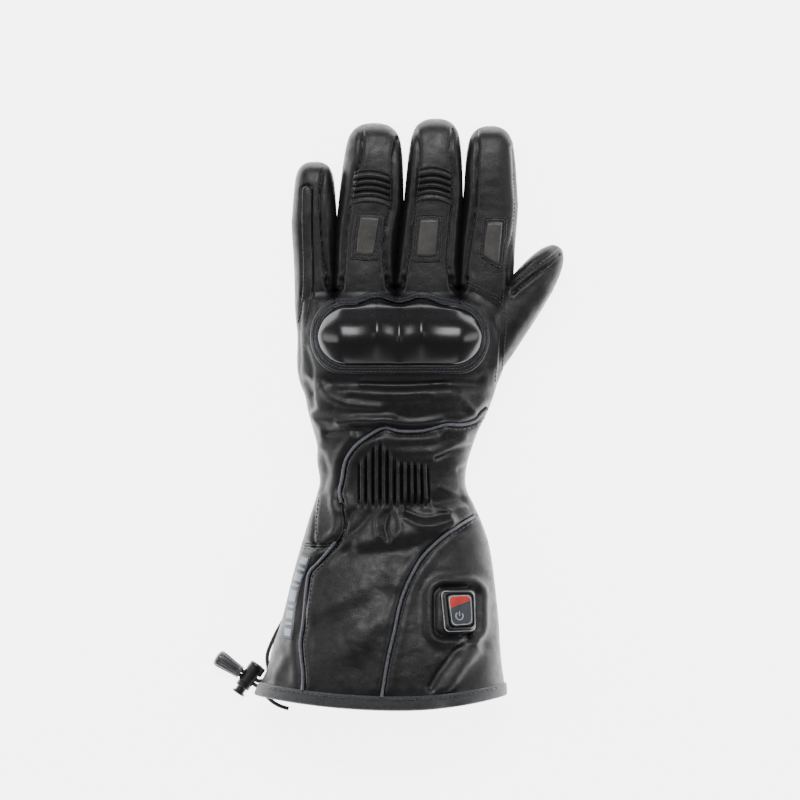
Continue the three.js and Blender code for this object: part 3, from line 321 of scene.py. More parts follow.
def beside(line, distance):
    """The line moved sideways, to the left of its direction."""
    p = np.asarray(line, float)
    way = np.gradient(p, axis=0)
    way /= np.linalg.norm(way, axis=1)[:, None]
    return p + np.column_stack([-way[:, 1], way[:, 0]]) * distance


def distance_to(line, x, y):
    """How far each point lies from a line of [x, y] points."""
    p = np.asarray(line, float)
    low, high = p.min(axis=0) - 14, p.max(axis=0) + 14
    near = (x > low[0]) & (x < high[0]) & (y > low[1]) & (y < high[1])
    best = np.full(x.shape, 99.0)
    px, py = x[near], y[near]
    found = np.full(px.shape, 99.0)
    for a, b in zip(p, p[1:]):
        run = b - a
        share = np.clip(((px - a[0]) * run[0] + (py - a[1]) * run[1]) / max(run @ run, 1e-9), 0, 1)
        found = np.minimum(found, np.hypot(px - a[0] - share * run[0], py - a[1] - share * run[1]))
    best[near] = found
    return best


WIDTHS = curve_through(WIDTH_ROWS)


def trunk_section(along):
    """Reach to each side, height of the back, lift of the underside and squareness."""
    hand = along <= 1
    spreads = [np.interp(along, WIDTHS[:, 0], WIDTHS[:, k]) for k in (1, 2)]
    little, thumb = (
        mix(wrist, np.where(hand, front, hem), spread)
        for wrist, front, hem, spread in zip(WRIST_REACH, HAND_REACH, HEM_REACH, spreads)
    )
    climb = np.clip(along / HIGHEST, 0, 1)
    front = mix(FRONT_HEIGHT, HAND_HEIGHT, mix(smooth_step(climb), climb, 0.4))
    back = mix(HAND_HEIGHT, WRIST_HEIGHT, smooth_step((along - 0.5) / 0.5))
    cuff = mix(WRIST_HEIGHT, HEM_HEIGHT, smooth_step((along - 1) / (FULL_HEIGHT - 1)))
    top = np.where(along < HIGHEST, front, np.where(hand, back, cuff))
    lift = BINDING_ROOM * smooth_step((along - 1.86) / 0.08)
    return little, thumb, top, lift, mix(2.7, 2.4, smooth_step(along - 0.5))


def trunk_y(across, along):
    """Y on the hand and cuff; the hem dips in its middle."""
    share = np.maximum(along - 1, 0)
    dip = HEM_DIP * np.maximum(0, 1 - across**2) * share**2
    return FRONT_Y - np.minimum(along, 1) * HAND_LENGTH - share * CUFF_LENGTH - dip


def plan(place):
    """[across, along] to [x, y]."""
    across, along = np.asarray(place, float).T
    little, thumb, _, _, _ = trunk_section(along)
    reach = np.where(across < 0, little, thumb)
    return np.column_stack([across * reach, trunk_y(np.clip(across, -1, 1), along)])


def fold_rise(across, along):
    """How far the broad folds stand off the trunk."""
    px, py = across * HAND_REACH[1], along * HAND_LENGTH
    rise = 0
    for start, end, width, height in FOLDS:
        line = [(a * HAND_REACH[1], b * HAND_LENGTH) for a, b in (start, end)]
        away = distance_to(line, px, py) / (width * HAND_HEIGHT)
        rise = rise + height * HAND_HEIGHT * np.exp(-(away**2))
    return rise


def finger_section(name, along):
    """Centre, half width and y of a finger at a place along it."""
    root, middle, tip, length, _ = FINGERS[name]
    spread = np.clip(along / 0.5, 0, 1) ** 1.4
    reach = [[share * HAND_REACH[0 if share < 0 else 1] for share in pair] for pair in (root, middle)]
    low, high = (mix(reach[0][k], reach[1][k], spread) for k in (0, 1))
    tip_x = tip * HAND_REACH[0 if tip < 0 else 1]
    centre = mix((low + high) / 2, tip_x, smooth_step((along - 0.3) / 0.7))
    half = (high - low - FINGER_SPACING + FINGER_PRESS) / 2
    return centre, half, FRONT_Y + along * length * HAND_LENGTH


ROWS = curve_through(FINGER_ROWS, 10)


def finger_point(name, across, along, off=0.0):
    """A point on the back of a finger, standing off it."""
    centre, half, y = finger_section(name, along)
    half = half * np.interp(along, ROWS[:, 0], ROWS[:, 1])
    height = FINGER_HEIGHT * FINGERS[name][4]
    top, belt = (height * np.interp(along, ROWS[:, 0], ROWS[:, k]) for k in (2, 3))
    share = np.minimum(1, np.abs(across) * half / (half + off))
    z = belt + (top + off - belt) * (1 - share**STALL_SQUARE) ** (1 / STALL_SQUARE)
    return np.column_stack(np.broadcast_arrays(centre + across * half, y, z))


def finger_plan(name, line):
    """[across, along] of a finger to [x, y]."""
    across, along = np.asarray(line, float).T
    return finger_point(name, across, along)[:, :2]


def even_turns(start, end, square, width, height):
    """Turns of a rounded section at places spaced evenly over its skin."""
    turns = np.linspace(start, end, 2000)
    x = width * power(np.cos(turns), 2 / square)
    z = height * power(np.sin(turns), 2 / square)
    run = np.concatenate([[0], np.cumsum(np.hypot(np.diff(x), np.diff(z)))])
    return lambda share: np.interp(share, run / run[-1], turns)


TOP_TURNS = even_turns(math.pi, 0, 2.55, 56, 25)
UNDER_TURNS = even_turns(0, -math.pi, UNDER_SQUARE, 56, 17)
STALL_TURNS = even_turns(0, 2 * math.pi, STALL_SQUARE, 15, 15)


def lobes(across, along, x):
    """How far the front of the hand sinks between the fingers, from 0 to 1."""
    little, thumb, top, _, square = trunk_section(np.zeros_like(along))
    full = (top - SEAM_HEIGHT) * (1 - np.minimum(1, np.abs(across)) ** square) ** (1 / square)
    fingers = np.zeros_like(full)
    for name in FINGERS:
        centre, half, _ = finger_section(name, np.zeros(1))
        height = FINGER_HEIGHT * FINGERS[name][4]
        share = np.minimum(1, np.abs(x - centre) / half)
        z = 0.45 * height + 0.62 * height * (1 - share**STALL_SQUARE) ** (1 / STALL_SQUARE)
        fingers = np.maximum(fingers, z - SEAM_HEIGHT)
    depth = np.clip((full - fingers) / np.maximum(full, 2), 0, 1)
    back = np.clip(along / 0.14, 0, 1)
    return depth ** (1 + 3 * back) * (1 - smooth_step(back))


# Relief of the leather

SEAM_LINES = {
    "upper": plan(curve_through(UPPER_SEAM)),
    "link": plan(curve_through(SIDE_LINK)),
    "side": plan(curve_through(SIDE_SEAM)),
    "lower": plan(curve_through(LOWER_SEAM)),
}
# Seams without piping, as [x, y]
PLAIN_SEAMS = {
    "wrist": curve_through([(-48.5, -56), (-50, -70), (-49.5, -84)]),
    "little_side": curve_through([(-55.5, 66), (-57.5, 54), (-58.2, 30), (-57.5, 4), (-52, -8)]),
    "index_strip": curve_through([(36, 66.5), (46, 61.5), (55, 57)]),
    "index_end": curve_through([(55, 57), (58.6, 53), (59.5, 47)]),
    "gusset": curve_through([(62.5, 66), (60.5, 50), (58.5, 30), (56.8, 10)]),
}


def button_distance(x, y):
    """Distance from the button's bezel, seen from above."""
    (cx, cy), = plan([(BUTTON_ACROSS, BUTTON_ALONG)])
    dx = np.abs(x - cx) - (BUTTON_WIDTH / 2 + BUTTON_RIM - 4)
    dy = np.abs(y - cy) - (BUTTON_LENGTH / 2 + BUTTON_RIM - 4)
    return np.hypot(np.maximum(dx, 0), np.maximum(dy, 0)) - 4


def groove(away, width):
    """A bell of height 1 over a line."""
    return np.exp(-((away / width) ** 2))


def wrinkles(points, scale, stretch):
    """Soft random wrinkles from -1 to 1, longer along one axis."""
    place = points * np.array([1 / stretch[0], 1 / stretch[1], 0.05]) / scale
    return np.array([noise.noise(Vector(p)) for p in place])


def pleats(x, y):
    """The elastic gather over the wrist: narrow deep gaps between soft upright ridges."""
    pitch = (PLEAT_TO - PLEAT_FROM) / PLEAT_COUNT
    lean = (x - PLEAT_FROM) + 0.05 * (y - PLEAT_END) * np.clip((x - 5) / 12, 0, 1)
    place = lean / pitch
    phase = place - np.round(place)
    inside = smooth_step(place + 0.6) * smooth_step(PLEAT_COUNT + 0.6 - place)
    peak = np.exp(-(((x + 12) / 7) ** 2))
    top = mix(PLEAT_TOP, PLEAT_PEAK, 0.8 * peak) - 2.5 * np.clip((x - 10) / 8, 0, 1)
    fade = smooth_step((top + 1 - y) / 7) * smooth_step((y - PLEAT_END + 1) / 6)
    ridge = 0.5 + 0.5 * np.cos(2 * np.pi * (phase - 0.5))
    gap = np.exp(-((phase * pitch / PLEAT_GAP) ** 2))
    # Returns the rise, and the gaps as a mask for painted shade
    return inside * fade * (1.1 * ridge - PLEAT_DEPTH * gap), inside * fade * gap


def back_relief(points, across, along):
    """How far the back's leather stands off its smooth form, and how much painted shade darkens its
    creases.
    """
    x, y = points[:, 0], points[:, 1]
    rise = fold_rise(across, along)
    # crease: painted shade in the creases, seam grooves, button moat and pleat gaps
    crease = np.zeros_like(x)
    for line, height, width in CREASES:
        shape = groove(distance_to(curve_through(line), x, y), width)
        rise = rise + height * shape
        if height < 0:
            crease = np.maximum(crease, 0.5 * shape * min(1, -height))
    for line in SEAM_LINES.values():
        away = distance_to(line, x, y)
        rise = rise - 1.5 * groove(away, 1.5) + 0.7 * groove(away - 4.5, 2.6)
        crease = np.maximum(crease, 0.8 * groove(away, 1.1))
    for line in PLAIN_SEAMS.values():
        away = distance_to(line, x, y)
        rise = rise - 0.8 * groove(away, 0.9) + 0.3 * groove(away - 2.6, 1.5)
        crease = np.maximum(crease, groove(away, 0.7))
    away = button_distance(x, y)
    rise = rise - 1.6 * groove(away - 1.4, 1.3) + 1.3 * groove(away - 5.2, 2.3)
    rise = rise - 0.5 * groove(away - 10.5, 3)
    crease = np.maximum(crease, 0.5 * groove(away - 1.4, 1.0))
    gather, gap = pleats(x, y)
    lip = groove(np.hypot((x - 10) / 13, (y + 30.5) / 3.6), 1.0)
    rise = rise + gather + 1.4 * lip
    crease = np.maximum(crease, gap)
    rise = rise + 0.55 * wrinkles(points, 22, (1.5, 1)) + 0.3 * wrinkles(points + 90, 9, (2.0, 1))
    rise = rise + 0.1 * wrinkles(points + 40, 3.2, (1.4, 1))
    return rise, np.clip(crease, 0, 1)


# Meshes


def drape(columns, rows, place):
    """A grid whose points lie where place(u, v) puts them, with the painted shade of its creases."""
    bm = bmesh.new()
    bmesh.ops.create_grid(bm, x_segments=columns, y_segments=rows, size=0.5)
    flat = np.array([v.co[:2] for v in bm.verts]) + 0.5
    laid = place(flat[:, 0], flat[:, 1])
    spots, crease = laid if isinstance(laid, tuple) else (laid, np.zeros(len(flat)))
    # The crease layer holds painted shade: how far the colour is darkened in creases and seams
    layer = bm.verts.layers.float.new("crease")
    across = bm.verts.layers.float.new("run_across")
    lengthways = bm.verts.layers.float.new("run_along")
    for v, spot, dark, uv in zip(bm.verts, spots * MM, crease, flat):
        v.co = spot
        v[layer] = dark
        v[across] = uv[0]
        v[lengthways] = uv[1]
    return bm


def close_up(bm):
    """Merges the edges that meet, and points the faces outwards."""
    bmesh.ops.remove_doubles(bm, verts=bm.verts, dist=2e-6)
    bmesh.ops.dissolve_degenerate(bm, edges=bm.edges, dist=1e-7)
    bmesh.ops.recalc_face_normals(bm, faces=bm.faces)
    return bm


def face_up(bm, sign=1):
    """Turns a sheet so that most of it faces up, or down."""
    bm.normal_update()
    if sum(f.normal.z * f.calc_area() for f in bm.faces) * sign < 0:
        bmesh.ops.reverse_faces(bm, faces=bm.faces)
    return bm


def piece(name, bm, material, nodes=(), body="glove", wall=0.0, sharp=50):
    """Makes the object, hangs it on the body it rides on, gives it its material, and hides the model's
    parts that it stands in for.
    """
    bm.normal_update()
    for face in bm.faces:
        face.smooth = True
    mesh = bpy.data.meshes.new(name)
    bm.to_mesh(mesh)
    bm.free()
    mesh.set_sharp_from_angle(angle=math.radians(sharp))
    obj = bpy.data.objects.new(name, mesh)
    bpy.context.scene.collection.objects.link(obj)
    mesh.materials.append(material_of(material))
    if wall:
        solid = obj.modifiers.new("wall", "SOLIDIFY")
        solid.thickness = wall * MM
        solid.offset = -1
    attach(obj, body)
    if nodes:
        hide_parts(*nodes)
    return obj


def tube(path, radius, sides=10, ends=True):
    """A round bar along a line of [x, y, z] points; radius is one number or one for each point."""
    p = np.asarray(path, float)
    p = p[np.r_[True, np.linalg.norm(np.diff(p, axis=0), axis=1) > 1e-3]]
    way = np.gradient(p, axis=0)
    way /= np.linalg.norm(way, axis=1)[:, None]
    side = np.zeros_like(p)
    guess = np.array([0.0, 0.0, 1.0]) if abs(way[0][2]) < 0.9 else np.array([1.0, 0.0, 0.0])
    for k, w in enumerate(way):
        guess = guess - w * (guess @ w)
        guess /= np.linalg.norm(guess)
        side[k] = guess
    other = np.cross(way, side)
    size = np.broadcast_to(np.asarray(radius, float), (len(p),)).copy()
    if ends:
        size[[0, -1]] = 0

    def place(u, v):
        k = np.rint(v * (len(p) - 1)).astype(int)
        turn = 2 * np.pi * u
        out = side[k] * np.cos(turn)[:, None] + other[k] * np.sin(turn)[:, None]
        return p[k] + out * size[k][:, None]

    return close_up(drape(sides, len(p) - 1, place))


def capped(path, radius):
    """The path with its ends doubled, so that a tube ends in a small flat cap."""
    p = np.asarray(path, float)
    first, last = p[0] - p[1], p[-1] - p[-2]
    tip = 0.02 * radius
    start = p[0] + first / np.linalg.norm(first) * tip
    end = p[-1] + last / np.linalg.norm(last) * tip
    return np.vstack([start, p, end])


def turned(profile, steps=48):
    """A solid turned about X from [along, radius] points that start and end on the axis."""
    bm = bmesh.new()
    spots = [bm.verts.new((a, r, 0)) for a, r in profile]
    edges = [bm.edges.new(pair) for pair in zip(spots, spots[1:])]
    bmesh.ops.spin(
        bm, geom=spots + edges, cent=(0, 0, 0), axis=(1, 0, 0), angle=2 * math.pi, steps=steps,
        use_merge=True,
    )
    bmesh.ops.remove_doubles(bm, verts=bm.verts, dist=1e-4)
    bmesh.ops.recalc_face_normals(bm, faces=bm.faces)
    return bm


def put(bm, matrix):
    """Places a piece that was made about its own origin, in millimetres."""
    bmesh.ops.transform(bm, matrix=Matrix.Scale(MM, 4) @ matrix, verts=bm.verts)
    return bm


def laid_flat(spot, height, turn):
    """Lays a piece that was made along X at a spot, turned about Z."""
    return Matrix.Translation((*spot, height)) @ Matrix.Rotation(turn, 4, "Z")


def add_in(bm, other):
    """Adds another bmesh's faces to this one."""
    mesh = bpy.data.meshes.new("part")
    other.to_mesh(mesh)
    other.free()
    bm.from_mesh(mesh)
    bpy.data.meshes.remove(mesh)
    return bm


SKINS = {}


def skin():
    """The leather's top side, for pieces and stitches that are laid on it."""
    if "tree" not in SKINS:
        bm = bmesh.new()
        for obj in bpy.data.objects:
            if obj.get("glove_skin"):
                bm.from_mesh(obj.data)
        SKINS["tree"] = BVHTree.FromBMesh(bm)
        bm.free()
    return SKINS["tree"]


def below(x, y):
    """Where the skin lies under a point, and which way it faces there."""
    hit, normal, _, _ = skin().ray_cast(Vector((x * MM, y * MM, RAY_FROM)), Vector((0, 0, -1)))
    return hit, normal


def dropped(points, off=0.0):
    """Points let down on the leather from above, standing off it."""
    spots = []
    offs = np.broadcast_to(off, (len(points),))
    for (x, y), rise in zip(np.asarray(points)[:, :2], offs):
        hit, normal = below(x, y)
        if hit is None:
            spots.append(spots[-1] if spots else np.array([x, y, SEAM_HEIGHT]))
        else:
            spots.append(np.array(hit) / MM + np.array(normal) * rise)
    return np.array(spots)


def skin_heights(x, y, otherwise):
    """Heights of the skin under points, or else the heights given."""
    heights = []
    for px, py, pz in zip(x, y, otherwise):
        hit, _ = below(px, py)
        heights.append(pz if hit is None else min(pz, hit.z / MM))
    return np.array(heights)


# Materials


def linear(code):
    """An sRGB hex colour as the linear values that a shader takes."""
    parts = [int(code[k : k + 2], 16) / 255 for k in (1, 3, 5)]
    return [c / 12.92 if c <= 0.04045 else ((c + 0.055) / 1.055) ** 2.4 for c in parts]


def add(tree, kind, inputs=(), stops=(), **settings):
    """Adds a node with its settings and a ramp's two stops, and sets or links its inputs."""
    made = tree.nodes.new(kind)
    for name, value in settings.items():
        setattr(made, name, value)
    for number, (position, tone) in enumerate(stops):
        element = made.color_ramp.elements[number]
        element.position = position
        element.color = (*tone, 1)
    for socket, value in dict(inputs).items():
        if isinstance(value, bpy.types.NodeSocket):
            tree.links.new(value, made.inputs[socket])
        else:
            made.inputs[socket].default_value = value
    return made


def finish(name, **sockets):
    """A new material with its tree and its shader, whose sockets are set."""
    material = bpy.data.materials.new(name)
    material.use_nodes = True
    tree = material.node_tree
    shader = tree.nodes["Principled BSDF"]
    for socket, value in sockets.items():
        shader.inputs[socket.replace("_", " ")].default_value = value
    return material, tree, shader


def bumped(tree, shader, layers):
    """Chains bumps of [height, strength, depth in mm] into the shader's normal."""
    normal = None
    for height, strength, depth in layers:
        inputs = {"Height": height, "Strength": strength, "Distance": depth * MM}
        if normal is not None:
            inputs["Normal"] = normal
        normal = add(tree, "ShaderNodeBump", inputs).outputs["Normal"]
    tree.links.new(normal, shader.inputs["Normal"])


# Painted shade: the near-black that the leather's colour is mixed towards in creases, seams and gaps
PAINTED_CREASE_SHADE = "#060607"
SPARK_GRAIN = 0.35  # texture of spark-eroded mouldings, in mm


def leather(name, dark, light, grain, roughness, bump):
    """Dyed hide, drum milled: a pebble grain, a soft low sheen, and painted shade that darkens its
    creases and seams.
    """
    material, tree, shader = finish(name, IOR=1.43, Sheen_Weight=0.01, Sheen_Roughness=0.5)
    spot = add(tree, "ShaderNodeTexCoord").outputs["Object"]
    pebbles = add(tree, "ShaderNodeTexVoronoi", {"Vector": spot, "Scale": 1000 / grain}, feature="F1")
    cracks = add(
        tree, "ShaderNodeTexVoronoi", {"Vector": spot, "Scale": 1000 / (grain * 2.3)},
        feature="DISTANCE_TO_EDGE",
    )
    cloud = add(tree, "ShaderNodeTexNoise", {"Vector": spot, "Scale": 1000 / 30, "Detail": 5.0})
    creep = add(tree, "ShaderNodeTexNoise", {"Vector": spot, "Scale": 1000 / 4, "Detail": 4.0})
    tones = [(0.35, dark), (0.68, light)]
    base = add(tree, "ShaderNodeValToRGB", {"Fac": cloud.outputs["Fac"]}, tones).outputs["Color"]
    # Painted shade: the crease attribute darkens the leather's colour where creases, seams and gaps fall
    # into shade
    crease_shade = add(tree, "ShaderNodeAttribute", attribute_name="crease")
    mixed = {"Factor": crease_shade.outputs["Fac"], "A": base, "B": (*linear(PAINTED_CREASE_SHADE), 1)}
    shade = add(tree, "ShaderNodeMix", mixed, data_type="RGBA")
    tree.links.new(shade.outputs["Result"], shader.inputs["Base Color"])
    gloss = {
        "Value": creep.outputs["Fac"], "From Min": 0.3, "From Max": 0.7, "To Min": roughness[0],
        "To Max": roughness[1],
    }
    rough = add(tree, "ShaderNodeMapRange", gloss)
    tree.links.new(rough.outputs["Result"], shader.inputs["Roughness"])
    layers = [
        (creep.outputs["Fac"], 0.5, 0.35), (cracks.outputs["Distance"], bump * 0.6, 0.15),
        (pebbles.outputs["Distance"], bump, 0.12),
    ]
    bumped(tree, shader, layers)
    return material


def guard_shell():
    """Injection-moulded thermoplastic, polished tool: near-black with a clear hard gloss."""
    material, tree, shader = finish("polished_thermoplastic", IOR=1.5, Roughness=0.24)
    spot = add(tree, "ShaderNodeTexCoord").outputs["Object"]
    cloud = add(tree, "ShaderNodeTexNoise", {"Vector": spot, "Scale": 1000 / 18, "Detail": 3.0})
    tones = [(0.3, linear("#0b0b0d")), (0.7, linear("#121215"))]
    base = add(tree, "ShaderNodeValToRGB", {"Fac": cloud.outputs["Fac"]}, tones).outputs["Color"]
    tree.links.new(base, shader.inputs["Base Color"])
    ripple = add(tree, "ShaderNodeTexNoise", {"Vector": spot, "Scale": 1000 / 9, "Detail": 1.0})
    bumped(tree, shader, [(ripple.outputs["Fac"], 0.15, 0.25)])
    return material


def woven(name, dark, light, count, pitch, roughness):
    """Woven or braided yarn: slanting ribs from the piece's own run along and across."""
    material, tree, shader = finish(name, Roughness=roughness, Sheen_Weight=0.2)
    along = add(tree, "ShaderNodeAttribute", attribute_name="run_along").outputs["Fac"]
    across = add(tree, "ShaderNodeAttribute", attribute_name="run_across").outputs["Fac"]
    runs = []
    for value, number in ((along, pitch), (across, count)):
        factors = {0: value, 1: number * 2 * math.pi}
        runs.append(add(tree, "ShaderNodeMath", factors, operation="MULTIPLY").outputs[0])
    waves = []
    for kind in ("ADD", "SUBTRACT"):
        slant = add(tree, "ShaderNodeMath", {0: runs[0], 1: runs[1]}, operation=kind).outputs[0]
        waves.append(add(tree, "ShaderNodeMath", {0: slant}, operation="SINE").outputs[0])
    crossed = add(tree, "ShaderNodeMath", {0: waves[0], 1: waves[1]}, operation="MAXIMUM").outputs[0]
    bounds = {"Value": crossed, "From Min": -1.0, "From Max": 1.0}
    height = add(tree, "ShaderNodeMapRange", bounds).outputs["Result"]
    spot = add(tree, "ShaderNodeTexCoord").outputs["Object"]
    fine = {"Vector": spot, "Scale": 1000 / 1.5, "Detail": 3.0}
    fluff = add(tree, "ShaderNodeTexNoise", fine).outputs["Fac"]
    both = add(tree, "ShaderNodeMath", {0: height, 1: fluff}, operation="MULTIPLY").outputs[0]
    tones = [(0.05, dark), (0.5, light)]
    base = add(tree, "ShaderNodeValToRGB", {"Fac": both}, tones).outputs["Color"]
    tree.links.new(base, shader.inputs["Base Color"])
    bumped(tree, shader, [(height, 0.6, 0.18), (fluff, 0.3, 0.1)])
    return material


def plastic(name, dark, light, roughness):
    """Moulded nylon or acetal from a spark-eroded tool: an even fine texture and a soft gloss."""
    material, tree, shader = finish(name, IOR=1.53)
    spot = add(tree, "ShaderNodeTexCoord").outputs["Object"]
    fine = {"Vector": spot, "Scale": 1000 / SPARK_GRAIN, "Detail": 2.0}
    sparks = add(tree, "ShaderNodeTexNoise", fine).outputs["Fac"]
    broad = {"Vector": spot, "Scale": 1000 / 6, "Detail": 3.0}
    cloud = add(tree, "ShaderNodeTexNoise", broad).outputs["Fac"]
    tones = [(0.3, dark), (0.7, light)]
    base = add(tree, "ShaderNodeValToRGB", {"Fac": cloud}, tones).outputs["Color"]
    tree.links.new(base, shader.inputs["Base Color"])
    gloss = {"Value": cloud, "To Min": roughness - 0.08, "To Max": roughness + 0.08}
    rough = add(tree, "ShaderNodeMapRange", gloss)
    tree.links.new(rough.outputs["Result"], shader.inputs["Roughness"])
    bumped(tree, shader, [(sparks, 0.25, 0.05)])
    return material


# Hides: dark and light colour, grain in mm, roughness from and to, bump
HIDES = {
    # Cowhide, aniline dyed and drum milled: near-black, with a fine grain that softens the gloss
    "aniline_cowhide": ("", "", 1.1, (0.38, 0.53), 0.3),
    # Goatskin, pressed smooth over foam: grey, flatter and a little glossier
    "smooth_goatskin": ("#333231", "#4b4a48", 0.9, (0.3, 0.42), 0.2),
    # Cowhide, pigmented and embossed: bluish black with a coarser, duller grain
    "rim_cowhide": ("#15161a", "#22242a", 1.0, (0.4, 0.55), 0.4),
}
# Yarns and cloths: dark and light colour, ribs across the piece, ribs along it, roughness
YARNS = {
    # Polyester piping, woven over a cord: fine slanting ribs, grey in the light
    "woven_piping": ("#26272b", "", 3, 160, 0.5),
    # Polyester grosgrain tape: close ribs, a dull dark grey
    "grosgrain_binding": ("#101114", "#2a2b30", 420, 14, 0.6),
    # Nylon sewing thread, twisted and bonded: a slight gloss on each stitch
    "bonded_nylon_thread": ("#0e0e12", "#292a31", 2, 300, 0.4),
    # Polyester fleece, brushed: black without any gloss
    "brushed_fleece": ("#0b0b0c", "#1c1c1e", 70, 90, 0.95),
    # Elastic cord in a braided nylon sleeve: small diamonds of black and grey
    "braided_elastic": ("#08080a", "#2c2d33", 5, 34, 0.6),
}
# Mouldings: dark and light colour, roughness
MOULDINGS = {
    # Nylon from a spark-eroded tool: black with a soft gloss
    "moulded_nylon": ("#0c0c0e", "#18191c", 0.38),
    # Nylon without pigment over a dark core: smoky grey and glossier
    "clear_grey_nylon": ("#343537", "#565658", 0.25),
    # Rubber, compression moulded: matt, in black and in pale blue-grey
    "label_rubber_black": ("#15161a", "#22242a", 0.5),
    "label_rubber_pale": ("#67727f", "#7f8c9a", 0.5),
    # Ink pad-printed under a clear coat: even colour, clear gloss
    "pad_printed_red": ("#a3201c", "#c4332b", 0.3),
    "pad_printed_grey": ("#2b2e34", "#3a3e45", 0.3),
    # Lacquered trim in a metal's grey: pale and glossy
    "bright_metal_trim": ("#8b9097", "#b9bec5", 0.22),
}


def material_of(name):
    """Makes each finish once; the user's colours go before the tables'."""
    if name in bpy.data.materials:
        return bpy.data.materials[name]
    if name == "polished_thermoplastic":
        return guard_shell()
    looks = bpy.context.scene.glove_finishes
    chosen = {
        "aniline_cowhide": (looks.leather_dark, looks.leather_light),
        "woven_piping": (None, looks.piping),
    }
    for table, make in ((HIDES, leather), (YARNS, woven), (MOULDINGS, plastic)):
        if name in table:
            codes, rest = table[name][:2], table[name][2:]
            own = chosen.get(name, (None, None))
            tones = [list(tone or linear(code)) for tone, code in zip(own, codes)]
            return make(name, *tones, *rest)
    raise KeyError(name)


# Forms of the pieces

FAR = 400.0
HEM_RUN = HAND_LENGTH + CUFF_LENGTH
TURNED_IN = 3.0  # the hand's front edge turns in behind the fingers' roots
FRONT_LAP = 13.0  # length over which the hand's skin runs into the fingers'
WEBS = {
    "little_web": curve_through([(-42.6, 69), (-41.6, 65), (-38, 62.6), (-34.6, 65), (-34, 69)]),
    "ring_web": curve_through([(-7, 70), (-6, 66.5), (-2.8, 64.6), (0.6, 66.5), (1.6, 70)]),
    "middle_web": curve_through([(30, 70), (30.9, 66), (34.1, 64), (37.5, 66), (38.4, 70)]),
}
BAND_EDGES = (2.1, -2.1)  # the double-stitched strip on the little finger's side


def run_to_along(run):
    """Millimetres from the fingers' roots to a place along."""
    on_cuff = 1 + (run - HAND_LENGTH) / CUFF_LENGTH
    return np.where(run <= HAND_LENGTH, np.maximum(run, 0) / HAND_LENGTH, on_cuff)


def back_sheet(columns, rows):
    """The back of the hand and cuff in one sheet, with its relief."""

    def place(u, v):
        run = v * (HEM_RUN + TURNED_IN) - TURNED_IN
        along = run_to_along(run)
        turn = TOP_TURNS(u)
        little, thumb, top, _, square = trunk_section(along)
        n = np.maximum(np.sin(turn), 0)
        across = power(np.cos(turn), 2 / square)
        reach = np.where(across < 0, little, thumb)
        x = across * reach
        y = trunk_y(across, along)
        arch = n ** (2 / square)
        crown = SEAM_HEIGHT + (top - SEAM_HEIGHT) * arch
        rise, crease = back_relief(np.column_stack([x, y, crown]), across, along)
        # Grooves round the fingers' crotches, with painted shade in them
        for line in WEBS.values():
            away = distance_to(line, x, y)
            rise = rise - 1.0 * groove(away, 1.0)
            crease = np.maximum(crease, groove(away, 0.8))
        still = fold_rise(across, along)
        rise = still + (rise - still) * smooth_step((HEM_RUN - run - BINDING_WIDTH + 1) / 5)
        front = smooth_step((FRONT_LAP - run) / (FRONT_LAP - 1))
        rise = rise * smooth_step(n / 0.35) * (1 - front)
        z = SEAM_HEIGHT + (top + rise - SEAM_HEIGHT) * arch * (1 - lobes(across, along, x))
        x = across * (reach + rise - 0.8 * front)
        near = front > 0
        z[near] = mix(z[near], skin_heights(x[near], y[near], z[near]) - 0.2, front[near])
        return np.column_stack([x, y, z - np.clip(-run, 0, TURNED_IN)]), crease

    return drape(columns, rows, place)


def under_drop(n):
    """Height of the palm side's rounded form below the widest line."""
    return SEAM_HEIGHT + (SEAM_HEIGHT + UNDER_SINK) * power(n, 2 / UNDER_SQUARE)


def under_sheet(columns, rows):
    """The palm side of the hand and cuff, flat where it lies on the floor."""

    def place(u, v):
        run = v * (HEM_RUN + TURNED_IN) - TURNED_IN
        along = run_to_along(run)
        turn = UNDER_TURNS(u)
        little, thumb, _, lift, _ = trunk_section(along)
        across = power(np.cos(turn), 2 / UNDER_SQUARE)
        inset = np.clip(-run, 0, TURNED_IN)
        reach = np.where(across < 0, little, thumb) - inset
        z = np.maximum(lift, under_drop(np.sin(turn))) + inset * 0.7
        return np.column_stack([across * reach, trunk_y(across, along), z])

    return drape(columns, rows, place)


def within(polygon, x, y):
    """Whether points lie inside an outline of [x, y] points."""
    odd = np.zeros(x.shape, bool)
    p = np.asarray(polygon, float)
    for (ax, ay), (bx, by) in zip(p, np.roll(p, -1, axis=0)):
        if ay != by:
            odd ^= ((ay > y) != (by > y)) & (x < (bx - ax) * (y - ay) / (by - ay) + ax)
    return odd


def panel(sheet, keep):
    """A copy of the sheet with only some of its faces."""
    bm = sheet.copy()
    bm.faces.ensure_lookup_table()
    bmesh.ops.delete(bm, geom=[f for f, kept in zip(bm.faces, keep) if not kept], context="FACES")
    return bm


def even_rows(rows, length, half, height):
    """Rows of a stall at places spaced evenly over its skin."""
    p = curve_through(rows, 12)
    steps = np.diff(p[:, :3], axis=0) * np.array([length, half, height])
    run = np.concatenate([[0], np.cumsum(np.linalg.norm(steps, axis=1))])
    return lambda share: np.column_stack([np.interp(share * run[-1], run, p[:, k]) for k in range(4)])


